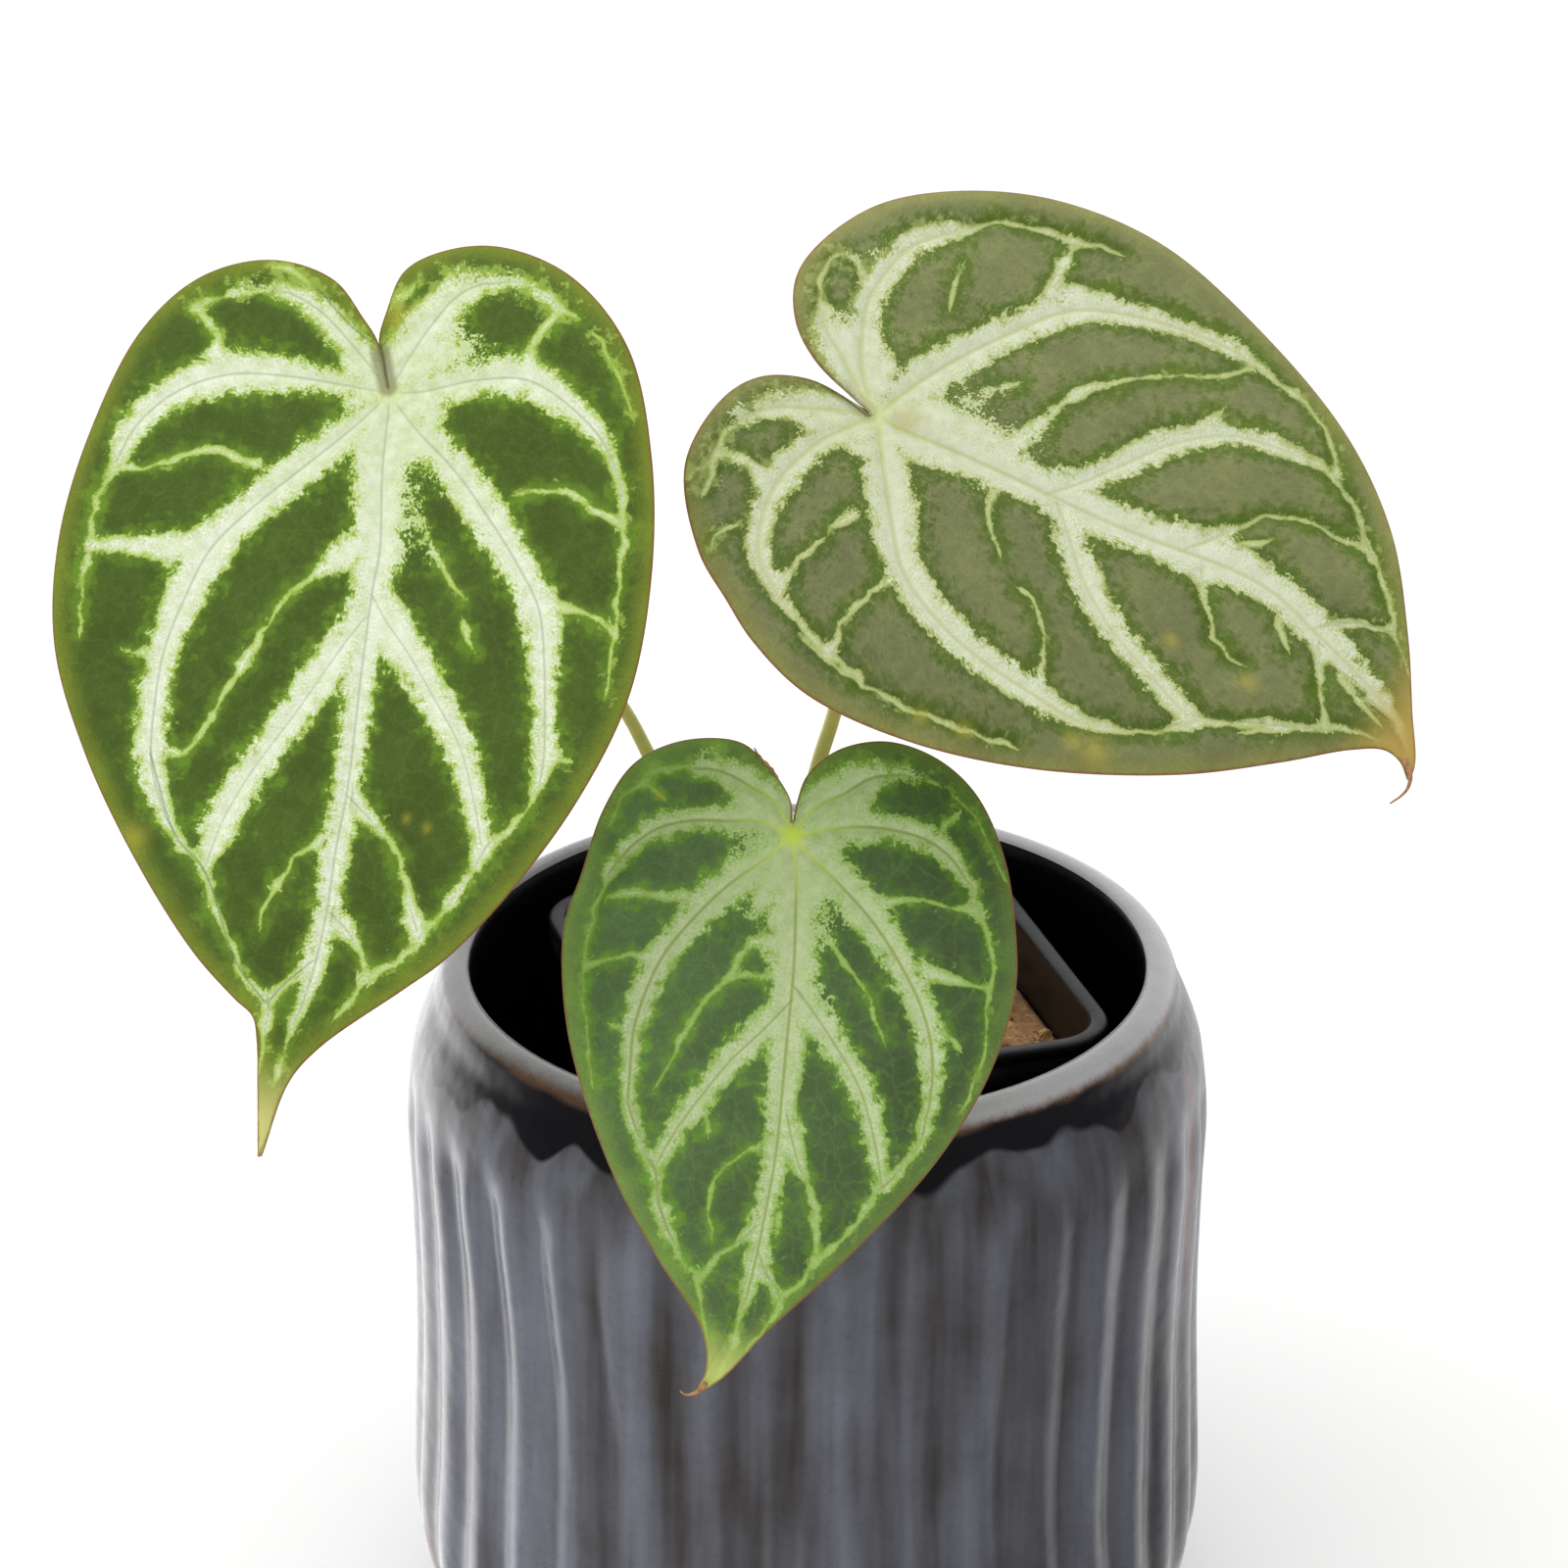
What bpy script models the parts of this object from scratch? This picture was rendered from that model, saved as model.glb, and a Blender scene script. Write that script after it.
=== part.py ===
"""A potted anthurium: a ribbed, glazed cover pot, a square nursery pot inside it, a bark
potting mix, a short crown with papery sheaths, three petioles and three heart-shaped blades.

Every length below is in millimetres. +Z is up, the middle of the cover pot's base is the
origin, and the blades lean over the pot's front, towards -Y.
"""
import math
import random

import bmesh
import bpy
import numpy as np
from mathutils import Euler, Vector

MM = 0.001  # one millimetre in metres
GAP = 0.3  # between pieces that touch

# The cover pot: height and outer radius, from the base up to the lip.
POT_PROFILE = [
    (0.0, 54.4), (1.4, 58.0), (4.5, 61.5), (9.5, 64.5), (17.0, 66.7), (26.0, 67.2), (44.0, 66.4),
    (61.0, 65.7), (82.0, 65.9), (97.0, 66.2), (107.0, 65.1), (114.0, 62.7), (119.0, 60.5),
    (121.4, 59.2), (122.0, 58.0),
]
# Its inside, from the lip down to the floor.
POT_INSIDE = [(121.4, 56.7), (119.5, 56.0), (112.0, 56.4), (98.0, 58.8), (30.0, 58.8), (13.0, 56.5)]
POT_FLOOR = 9.0
POT_FLOOR_RADIUS = 52.0
RIBS = 36
RIB_DEPTH = 1.2  # crests lie on the profile, and the valleys between them this far inside it
RIB_START = (6.0, 16.0)  # heights between which the ribs rise from the smooth foot
RIB_END = (96.0, 108.0)  # heights between which they fade into the smooth shoulder
POINTS_A_RIB = 4

# The nursery pot, a square of this width at its rim, turned a little in the cover pot.
NURSERY_WIDTH = 78.5
NURSERY_BASE_WIDTH = 60.0
NURSERY_HEIGHT = 109.7
NURSERY_WALL = 1.0
NURSERY_RIM = 3.0  # how far the rolled rim stands out of the wall
NURSERY_RIM_HEIGHT = 6.0
NURSERY_CORNER = 10.4  # corner radius at the rim
NURSERY_CENTRE = (2.6, 3.3)
NURSERY_TURN = 17.0  # degrees
NURSERY_FOOT_ROUND = 1.2
NURSERY_RIM_ROUND = 0.8
DRAIN_HOLE_RADIUS = 3.5
DRAIN_HOLE_OFFSET = 17.0
NURSERY_BOTTOM = POT_FLOOR + GAP
NURSERY_TOP = NURSERY_BOTTOM + NURSERY_HEIGHT
WALL_WIDTH = NURSERY_WIDTH - 2 * (NURSERY_RIM - NURSERY_WALL)  # across the wall's outside, under the rim
WALL_CORNER = NURSERY_CORNER - NURSERY_RIM + NURSERY_WALL

# The potting mix and the bark chips on it.
MIX_TOP = NURSERY_TOP - 9.5
MIX_BUMP = 0.8
MIX_EDGE_DROP = 1.5  # how much lower the mix lies along the pot's wall
CHIP_TRIES = 900
CHIP_SPACING = 0.8  # least distance between two chips, as a share of their half lengths together
CHIP_LENGTH = (7.0, 13.0)
CHIP_WIDTH = (4.5, 8.0)
CHIP_THICKNESS = (2.6, 4.4)
CHIP_OUTLINE = ((-1, -1), (0.1, -1.15), (1, -0.8), (1.1, 0.3), (0.6, 1), (-0.9, 0.9))  # in half lengths
CHIP_TAPER = 0.8  # its upper face, as a share of its lower face
CHIP_LEAN = 0.35  # radians
CHIP_RAISE = (0.2, 0.5)
CHIP_SEED = 7

# The crown, where the three petioles meet.
CROWN_AT = (-4.0, 9.0)
CROWN_RADIUS = 6.4
CROWN_FOOT_RADIUS = 5.0
CROWN_BOTTOM = 92.0
CROWN_TOP = 116.0
CROWN_SIDES = 20
SCAR_SPACING = 4.0  # between the rings that old leaves left
SCAR_DEPTH = 0.9
CROWN_EDGE = 1.6  # how far its head is rounded off
SOCKET_DEPTH = 3.4

# The papery sheaths, one between each two petioles: pointed scales that rise from the crown's edge.
SHEATH_AZIMUTHS = (-4.0, 116.0, 233.0)  # degrees
SHEATH_HALF_ANGLE = 30.0  # degrees, at its foot
SHEATH_HEIGHT = 10.0
SHEATH_LEAN = 1.6  # how far its tip leans outwards
SHEATH_THICKNESS = 0.8
SHEATH_INSET = 1.4  # how far inside the crown's edge its inner face stands

# Petioles: where each one stands in the crown, and the points it runs through on its way to its blade.
PETIOLE_BASE_RADIUS = 1.7
PETIOLE_TOP_RADIUS = {"left": 0.95, "centre": 1.0, "right": 1.1}
JOINT_SWELLING = 0.4  # how much wider the joint under the blade is
JOINT_SPAN = (0.9, 0.955, 0.98, 1.02)  # shares of the petiole where it swells and narrows again
PETIOLE_POINTS = 22
PETIOLE_FEET = {"left": (-7.4, 9.4), "centre": (-2.6, 5.7), "right": (-2.2, 12.0)}
PETIOLE_ROUTES = {
    "left": [
        (-8.4, 9.2, 122.0), (-17.5, 6.0, 138.0), (-25.9, 2.0, 157.9), (-29.1, 0.3, 165.6),
        (-39.8, -9.5, 188.0), (-51.5, -21.5, 213.0), (-59.0, -31.5, 229.0),
    ],
    "centre": [
        (-2.4, 4.9, 122.0), (-2.2, -1.0, 138.0), (-2.9, -13.0, 153.0), (-3.0, -31.0, 161.5),
        (-2.8, -45.5, 165.5),
    ],
    "right": [
        (-2.0, 11.8, 122.0), (-1.0, 10.6, 138.0), (1.8, 6.9, 154.1), (4.3, 4.4, 164.2),
        (7.0, -1.5, 182.0), (8.8, -12.5, 205.0), (9.5, -23.0, 221.5),
    ],
}

# Blades. Each one is drawn on a plane through its base, the point where the petiole joins it, and
# bulges off that plane along bulge. facing is the azimuth (0 is straight to the front) and the
# elevation of the plane's normal, in degrees. The margins are (x, y) on the plane, x to the right
# and y from the base to the tip, and both run from the notch between the lobes to the tip. midrib
# is the midrib's x at each y.
BLADE_THICKNESS = 0.8
ARCH_MIDDLE = 0.4  # where along the blade its arch is highest, as a share of its length
BLADES = {
    "left": dict(
        base=(-63.1, -37.2, 235.5), tip=(-80.7, -103.5, 141.4),
        facing=(-10.0, 36.0), bulge=(0.07, -0.93, 0.35),
        midrib=[(0, 0), (25, 1.8), (50, 3.8), (75, 4.4), (92, 3.4), (105, 1.0), (117, -0.1)],
        left_margin=[
            (-0.7, -0.9), (-3.4, -7.6), (-6.1, -11.3), (-11.7, -16.7), (-21.7, -18.7), (-32.2, -14.9),
            (-40.0, -5.6), (-45.0, 10.5), (-46.9, 28.0), (-44.6, 44.5), (-37.2, 60.0), (-27.0, 74.6),
            (-15.4, 87.6), (-7.8, 93.8), (-4.7, 96.0), (-3.4, 99.6), (-2.1, 106.5), (-0.3, 116.8),
        ],
        right_margin=[
            (-0.2, -1.1), (-3.0, -8.0), (-2.7, -12.5), (-0.9, -19.3), (5.0, -23.2), (13.3, -24.6),
            (24.5, -21.3), (34.8, -11.5), (41.2, 5.0), (44.2, 24.0), (43.6, 42.0), (38.3, 58.3),
            (29.5, 74.6), (22.4, 84.3), (17.4, 89.1), (6.0, 99.8), (2.4, 105.5), (0.3, 116.6),
        ],
        arch=6.0, droop=6.0, wave=1.0, waves=5, wave_start=0.4,
    ),
    "centre": dict(
        base=(-2.6, -51.6, 168.9), tip=(-18.1, -102.1, 100.2),
        facing=(2.0, 36.0), bulge=(0.0, -0.9, 0.43),
        midrib=[(0, 0), (12, 1.9), (30, 4.2), (50, 6.2), (65, 6.0), (77, 4.4), (87, 1.0)],
        left_margin=[
            (-0.6, -0.9), (-0.8, -4.8), (-2.6, -7.2), (-5.2, -9.6), (-9.6, -12.6), (-14.2, -12.8),
            (-20.8, -10.7), (-26.0, -6.4), (-29.2, 1.5), (-30.6, 12.0), (-31.7, 20.0), (-29.6, 31.7),
            (-25.4, 42.5), (-16.5, 57.5), (-8.4, 67.6), (0.2, 77.3), (1.8, 83.0), (0.6, 86.8),
        ],
        right_margin=[
            (-0.1, -1.1), (-0.3, -5.2), (0.6, -9.6), (4.6, -14.4), (11.7, -17.1), (19.8, -15.9),
            (26.8, -11.4), (32.7, -2.4), (36.4, 9.0), (37.8, 18.0), (36.0, 31.5), (30.4, 45.8),
            (20.0, 62.1), (10.0, 75.4), (4.6, 83.6), (1.0, 87.0),
        ],
        arch=4.0, droop=4.5, wave=0.8, waves=5, wave_start=2.2,
    ),
    "right": dict(
        base=(10.0, -29.3, 228.8), tip=(90.7, -60.8, 182.6),
        facing=(15.0, 48.0), bulge=(-0.02, -0.93, 0.36),
        midrib=[(0, 0), (15, 2.6), (30, 5.6), (50, 10.4), (68, 12.6), (82, 9.6), (91, 6.4), (98, 0.6)],
        left_margin=[
            (-0.5, -1.0), (-0.2, -6.0), (-1.2, -11.9), (-5.3, -17.6), (-12.0, -20.2), (-25.2, -18.5),
            (-36.0, -8.8), (-40.2, -0.8), (-43.4, 6.2), (-45.6, 17.5), (-42.5, 34.0), (-34.8, 51.0),
            (-22.0, 68.8),
            (-10.2, 80.6), (-1.8, 88.2), (1.4, 92.5), (1.2, 95.5), (-0.6, 97.9),
        ],
        right_margin=[
            (0.0, -1.2), (0.6, -5.0), (2.2, -12.5), (5.9, -18.6), (12.4, -22.9), (20.0, -23.4),
            (31.9, -19.7), (42.5, -10.3), (50.5, 2.7), (54.2, 19.5), (51.1, 39.6), (44.0, 59.7),
            (34.0, 74.0), (20.1, 85.6), (9.2, 93.0), (2.7, 97.4), (-0.3, 98.3),
        ],
        arch=5.0, droop=6.5, wave=1.2, waves=5, wave_start=1.2,
    ),
}
BLADE_POINTS = 31  # along each margin
BLADE_RINGS = [0.14, 0.34, 0.54, 0.74, 0.9, 1.0]  # shares of the way from the base to the margin


def clear_scene():
    for obj in list(bpy.data.objects):
        bpy.data.objects.remove(obj, do_unlink=True)


def srgb(code):
    """The linear colour of an sRGB hex code."""
    channels = [int(code[i:i + 2], 16) / 255 for i in (1, 3, 5)]
    return tuple(c / 12.92 if c <= 0.04045 else ((c + 0.055) / 1.055) ** 2.4 for c in channels) + (1.0,)


def material(name, colour, roughness, metallic=0.0):
    made = bpy.data.materials.new(name)
    made.use_nodes = True
    shader = made.node_tree.nodes["Principled BSDF"]
    shader.inputs["Base Color"].default_value = srgb(colour)
    shader.inputs["Roughness"].default_value = roughness
    shader.inputs["Metallic"].default_value = metallic
    made.diffuse_color = srgb(colour)
    return made


def solid(name, points, faces, finish=None):
    """An object from points in millimetres and closed faces, turned to face outwards."""
    mesh = bpy.data.meshes.new(name)
    mesh.from_pydata([Vector(p) * MM for p in points], [], faces)
    bm = bmesh.new()
    bm.from_mesh(mesh)
    bmesh.ops.recalc_face_normals(bm, faces=bm.faces)
    bm.to_mesh(mesh)
    bm.free()
    obj = bpy.data.objects.new(name, mesh)
    bpy.context.scene.collection.objects.link(obj)
    if finish is not None:
        mesh.materials.append(finish)
        mesh.shade_smooth()
        mesh.set_sharp_from_angle(angle=math.radians(35))
    return obj


def loft(rings):
    """Points and faces of a closed solid: a wall between each ring and the next, and both ends capped."""
    count = len(rings[0])
    points = [tuple(p) for ring in rings for p in ring]
    faces = []
    for row in range(len(rings) - 1):
        here, above = row * count, (row + 1) * count
        for i in range(count):
            j = (i + 1) % count
            faces.append((here + i, here + j, above + j, above + i))
    faces.append(tuple(reversed(range(count))))
    top = (len(rings) - 1) * count
    faces.append(tuple(range(top, top + count)))
    return points, faces


def smooth_curve(points, count):
    """count points, evenly spaced, on a Catmull-Rom curve through the given ones."""
    p = np.array(points, float)
    p = np.vstack([2 * p[0] - p[1], p, 2 * p[-1] - p[-2]])
    step = np.sqrt(np.linalg.norm(np.diff(p, axis=0), axis=1))
    knot = np.concatenate([[0], np.cumsum(step)])
    fine = []
    for i in range(1, len(p) - 2):
        t = np.linspace(knot[i], knot[i + 1], 40, endpoint=False)[:, None]
        t0, t1, t2, t3 = knot[i - 1:i + 3]
        a1 = (t1 - t) / (t1 - t0) * p[i - 1] + (t - t0) / (t1 - t0) * p[i]
        a2 = (t2 - t) / (t2 - t1) * p[i] + (t - t1) / (t2 - t1) * p[i + 1]
        a3 = (t3 - t) / (t3 - t2) * p[i + 1] + (t - t2) / (t3 - t2) * p[i + 2]
        b1 = (t2 - t) / (t2 - t0) * a1 + (t - t0) / (t2 - t0) * a2
        b2 = (t3 - t) / (t3 - t1) * a2 + (t - t1) / (t3 - t1) * a3
        fine.append((t2 - t) / (t2 - t1) * b1 + (t - t1) / (t2 - t1) * b2)
    fine = np.vstack(fine + [p[-2:-1]])
    run = np.concatenate([[0], np.cumsum(np.linalg.norm(np.diff(fine, axis=0), axis=1))])
    at = np.linspace(0, run[-1], count)
    return np.stack([np.interp(at, run, fine[:, k]) for k in range(fine.shape[1])], axis=1)


def rise(value, start, end):
    """0 below start, 1 above end, and a smooth step between them."""
    t = min(max((value - start) / (end - start), 0.0), 1.0)
    return t * t * (3 - 2 * t)


def cover_pot():
    """The turned profile, with a ridge and a valley for each rib round its middle."""
    around = RIBS * POINTS_A_RIB
    angles = [2 * math.pi * i / around for i in range(around)]

    def ring(radius, height, share=0.0):
        points = []
        for angle in angles:
            valley = 1 - abs(math.sin(RIBS / 2 * (angle + math.pi / 2)))
            r = radius - share * RIB_DEPTH * valley
            points.append((r * math.cos(angle), r * math.sin(angle), height))
        return points

    rings = [ring(r, z, rise(z, *RIB_START) * (1 - rise(z, *RIB_END))) for z, r in POT_PROFILE]
    rings += [ring(r, z) for z, r in POT_INSIDE]
    rings.append(ring(POT_FLOOR_RADIUS, POT_FLOOR))
    return solid("cover_pot", *loft(rings), material("blue grey glaze", "#5f6670", 0.25))


def on_nursery(x, y):
    """The place of a point given from the nursery pot's centre and turned with it."""
    turn = math.radians(NURSERY_TURN)
    return (NURSERY_CENTRE[0] + x * math.cos(turn) - y * math.sin(turn),
            NURSERY_CENTRE[1] + x * math.sin(turn) + y * math.cos(turn))


def rounded_square(width, corner, height, steps=5):
    """Points round a square with rounded corners, on the nursery pot's centre and turned with it."""
    points = []
    reach = width / 2 - corner
    for quarter in range(4):
        for step in range(steps + 1):
            angle = math.pi / 2 * (quarter + step / steps)
            x = corner * math.cos(angle) + reach * (1 if quarter in (0, 3) else -1)
            y = corner * math.sin(angle) + reach * (1 if quarter in (0, 1) else -1)
            points.append((*on_nursery(x, y), height))
    return points


def nursery_width(height):
    """The outside width of the tapered wall at a height."""
    share = (height - NURSERY_BOTTOM) / NURSERY_HEIGHT
    return NURSERY_BASE_WIDTH + (WALL_WIDTH - NURSERY_BASE_WIDTH) * share


def nursery_ring(height, inset=0.0, extra=0.0):
    width = nursery_width(height) - 2 * inset + 2 * extra
    return rounded_square(width, WALL_CORNER - inset + extra, height)


def combine(target, other, operation, solver):
    """Joins the other object to the target, or takes it out of it, and removes the other."""
    boolean = target.modifiers.new("combine", "BOOLEAN")
    boolean.operation = operation
    boolean.solver = solver
    boolean.object = other
    apply_modifiers(target)
    bpy.data.objects.remove(other, do_unlink=True)


def apply_modifiers(obj):
    bpy.context.view_layer.update()
    graph = bpy.context.evaluated_depsgraph_get()
    mesh = bpy.data.meshes.new_from_object(obj.evaluated_get(graph))
    obj.modifiers.clear()
    obj.data = mesh


def keep_largest_shell(obj):
    """Drops the loose scraps and fills the sealed hollows that a union leaves, by keeping its outer shell."""
    bm = bmesh.new()
    bm.from_mesh(obj.data)
    unseen = set(bm.faces)
    shells = []
    while unseen:
        shell, edge = [], [unseen.pop()]
        while edge:
            face = edge.pop()
            shell.append(face)
            near = {f for e in face.edges for f in e.link_faces} & unseen
            unseen -= near
            edge += near
        shells.append(shell)
    shells.sort(key=len)
    for shell in shells[:-1]:
        bmesh.ops.delete(bm, geom=shell, context="FACES")
    bm.to_mesh(obj.data)
    bm.free()


def cylinder(centre, radius, bottom, top, sides=16):
    rings = [[(centre[0] + radius * math.cos(2 * math.pi * i / sides),
               centre[1] + radius * math.sin(2 * math.pi * i / sides), z) for i in range(sides)]
             for z in (bottom, top)]
    return solid("cutter", *loft(rings))


def nursery_pot():
    """A thin tapered box with a rolled rim, and a drain hole near each corner of its base."""
    lip = NURSERY_RIM - NURSERY_WALL
    under_rim = NURSERY_TOP - NURSERY_RIM_HEIGHT
    outside = [
        nursery_ring(NURSERY_BOTTOM, inset=NURSERY_FOOT_ROUND),
        nursery_ring(NURSERY_BOTTOM + NURSERY_FOOT_ROUND),
        nursery_ring(under_rim),
        nursery_ring(under_rim, extra=lip),
        nursery_ring(NURSERY_TOP - NURSERY_RIM_ROUND, extra=lip),
        nursery_ring(NURSERY_TOP, extra=lip - NURSERY_RIM_ROUND),
    ]
    floor = NURSERY_BOTTOM + NURSERY_WALL
    inside = [
        nursery_ring(NURSERY_TOP, inset=NURSERY_WALL),
        nursery_ring(floor + NURSERY_FOOT_ROUND, inset=NURSERY_WALL),
        nursery_ring(floor, inset=NURSERY_WALL + NURSERY_FOOT_ROUND),
    ]
    pot = solid("nursery_pot", *loft(outside + inside), material("black plastic", "#141416", 0.45))
    for x in (-DRAIN_HOLE_OFFSET, DRAIN_HOLE_OFFSET):
        for y in (-DRAIN_HOLE_OFFSET, DRAIN_HOLE_OFFSET):
            hole = cylinder(on_nursery(x, y), DRAIN_HOLE_RADIUS, NURSERY_BOTTOM - 2, NURSERY_BOTTOM + 4)
            combine(pot, hole, "DIFFERENCE", "EXACT")
    return pot


def bark_chip(draw, placed):
    """A flat, uneven block of bark, half sunk in the mix and leaning at random. None where it would not lie
    clear of the crown, of the nursery pot and of the chips placed before."""
    length, width, thickness = (draw.uniform(*size) / 2 for size in (CHIP_LENGTH, CHIP_WIDTH, CHIP_THICKNESS))
    size = 1.1 * math.hypot(length, width)
    half = nursery_width(MIX_TOP) / 2 - NURSERY_WALL - 2 * GAP
    corner = NURSERY_CORNER - NURSERY_RIM - 2 * GAP
    x, y = draw.uniform(size - half, half - size), draw.uniform(size - half, half - size)
    at = Vector((*on_nursery(x, y), MIX_TOP))
    past_corner = math.hypot(max(abs(x) - half + corner, 0), max(abs(y) - half + corner, 0))
    if past_corner > max(corner - size, 0):
        return None
    if (at.xy - Vector(CROWN_AT)).length < CROWN_RADIUS + size + 2 * GAP:
        return None
    if any((at - other).length < CHIP_SPACING * (size + other_size) for other, other_size in placed):
        return None
    placed.append((at, size))
    lean_x, lean_y = draw.uniform(-CHIP_LEAN, CHIP_LEAN), draw.uniform(-CHIP_LEAN, CHIP_LEAN)
    lean = Euler((lean_x, lean_y, draw.uniform(0, math.pi)))
    faces = []
    for taper, z in ((1.0, -thickness), (CHIP_TAPER, thickness)):
        face = []
        for share_x, share_y in CHIP_OUTLINE:
            x = share_x * length * taper * draw.uniform(0.85, 1.0)
            y = share_y * width * taper * draw.uniform(0.85, 1.0)
            point = Vector((x, y, z))
            point.rotate(lean)
            face.append(at + point + Vector((0, 0, draw.uniform(*CHIP_RAISE))))
        faces.append(face)
    return solid("chip", *loft(faces))


def potting_mix():
    """A block that fills the nursery pot, with an uneven top, bark chips and a plain hole for the crown."""
    draw = random.Random(CHIP_SEED)
    inset = NURSERY_WALL + GAP
    bottom = NURSERY_BOTTOM + NURSERY_WALL + GAP
    rings = [nursery_ring(bottom, inset=inset + NURSERY_FOOT_ROUND), nursery_ring(bottom + 1.6, inset=inset)]
    rings.append(nursery_ring(MIX_TOP - MIX_EDGE_DROP, inset=inset))
    top = nursery_ring(MIX_TOP, inset=inset)
    centre = Vector((*NURSERY_CENTRE, MIX_TOP))
    for share in (0.8, 0.55, 0.3):
        ring = []
        for point in top:
            bump = Vector((0, 0, draw.uniform(-MIX_BUMP, MIX_BUMP)))
            ring.append(centre + share * (Vector(point) - centre) + bump)
        rings.append(ring)
    mix = solid("potting_mix", *loft(rings))
    chips = bpy.data.collections.new("chips")
    placed = []
    for _ in range(CHIP_TRIES):
        chip = bark_chip(draw, placed)
        if chip is not None:
            chips.objects.link(chip)
            bpy.context.scene.collection.objects.unlink(chip)
    bpy.context.scene.collection.children.link(chips)
    union = mix.modifiers.new("chips", "BOOLEAN")
    union.operation = "UNION"
    union.solver = "MANIFOLD"
    union.operand_type = "COLLECTION"
    union.collection = chips
    apply_modifiers(mix)
    for chip in list(chips.objects):
        bpy.data.objects.remove(chip, do_unlink=True)
    bpy.data.collections.remove(chips)
    keep_largest_shell(mix)
    hole = cylinder(CROWN_AT, CROWN_RADIUS + GAP, CROWN_BOTTOM - GAP, NURSERY_TOP)
    combine(mix, hole, "DIFFERENCE", "MANIFOLD")
    mix.data.materials.clear()
    mix.data.materials.append(material("bark mix", "#5a3a24", 0.9))
    return mix


def ring_at(centre, radius, height, sides):
    return [(centre[0] + radius * math.cos(2 * math.pi * i / sides),
             centre[1] + radius * math.sin(2 * math.pi * i / sides), height) for i in range(sides)]


def sheath(azimuth):
    """A thin pointed scale that clasps the crown, its foot sunk in the crown's edge."""
    rows = []
    for share in (0.0, 0.3, 0.55, 0.8, 1.0):
        half = math.radians(SHEATH_HALF_ANGLE) * (1 - share) ** 0.6 + 0.06
        height = CROWN_TOP - SCAR_SPACING + share * (SHEATH_HEIGHT + SCAR_SPACING)
        inside = CROWN_RADIUS - SHEATH_INSET + SHEATH_LEAN * share ** 2
        angles = [math.radians(azimuth) + half * step / 2 for step in (-2, -1, 0, 1, 2)]
        row = [(inside + SHEATH_THICKNESS, angle) for angle in angles]
        row += [(inside, angle) for angle in reversed(angles)]
        rows.append([(CROWN_AT[0] + r * math.cos(a), CROWN_AT[1] + r * math.sin(a), height) for r, a in row])
    return solid("sheath", *loft(rows))


def crown():
    """A short upright stem with leaf scars, papery sheaths round its head and a socket for each petiole."""
    profile = [(CROWN_FOOT_RADIUS - 1, CROWN_BOTTOM), (CROWN_FOOT_RADIUS, CROWN_BOTTOM + 1.5)]
    height = CROWN_BOTTOM + SCAR_SPACING
    while height < CROWN_TOP - SCAR_SPACING:
        profile += [(CROWN_RADIUS - SCAR_DEPTH, height), (CROWN_RADIUS - 0.2, height + SCAR_SPACING / 2)]
        height += SCAR_SPACING
    profile += [
        (CROWN_RADIUS, CROWN_TOP - 2 * CROWN_EDGE),
        (CROWN_RADIUS - CROWN_EDGE / 3, CROWN_TOP - CROWN_EDGE / 2),
        (CROWN_RADIUS - CROWN_EDGE, CROWN_TOP),
    ]
    stem = solid("crown", *loft([ring_at(CROWN_AT, r, z, CROWN_SIDES) for r, z in profile]))
    for azimuth in SHEATH_AZIMUTHS:
        combine(stem, sheath(azimuth), "UNION", "MANIFOLD")
    for foot in PETIOLE_FEET.values():
        socket = cylinder(foot, PETIOLE_BASE_RADIUS + GAP, CROWN_TOP - SOCKET_DEPTH, CROWN_TOP + 1, 12)
        combine(stem, socket, "DIFFERENCE", "EXACT")
    stem.data.materials.clear()
    stem.data.materials.append(material("green brown stem", "#6d6a3a", 0.6))
    return stem


def petiole(side, finish):
    """A slender stalk, thicker at its foot, with a swollen joint just behind the blade."""
    blade = BLADES[side]
    base, _, _, normal = blade_frame(blade)
    joint_height = 0.5
    end = tuple(base - normal * (BLADE_THICKNESS / 2 + GAP + joint_height))
    foot = PETIOLE_FEET[side]
    socket_floor = CROWN_TOP - SOCKET_DEPTH + GAP
    route = [(*foot, socket_floor), (*foot, CROWN_TOP + 0.5)] + PETIOLE_ROUTES[side] + [end]
    points = smooth_curve(route, PETIOLE_POINTS)
    curve = bpy.data.curves.new(f"petiole_{side}", "CURVE")
    curve.dimensions = "3D"
    curve.bevel_depth = PETIOLE_BASE_RADIUS * MM
    curve.bevel_resolution = 2
    curve.use_fill_caps = True
    spline = curve.splines.new("POLY")
    spline.points.add(len(points) - 1)
    top_radius = PETIOLE_TOP_RADIUS[side]
    swell_start, swell_end, narrow_start, narrow_end = JOINT_SPAN
    for i, point in enumerate(points):
        share = i / (len(points) - 1)
        radius = top_radius + (PETIOLE_BASE_RADIUS - top_radius) * (1 - share) ** 3
        swollen = rise(share, swell_start, swell_end) * (1 - rise(share, narrow_start, narrow_end))
        radius += JOINT_SWELLING * swollen
        spline.points[i].co = (*(Vector(point) * MM), 1.0)
        spline.points[i].radius = radius / PETIOLE_BASE_RADIUS
    curve.materials.append(finish)
    obj = bpy.data.objects.new(f"petiole_{side}", curve)
    bpy.context.scene.collection.objects.link(obj)
    return obj


def unit(vector):
    return vector / np.linalg.norm(vector)


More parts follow.
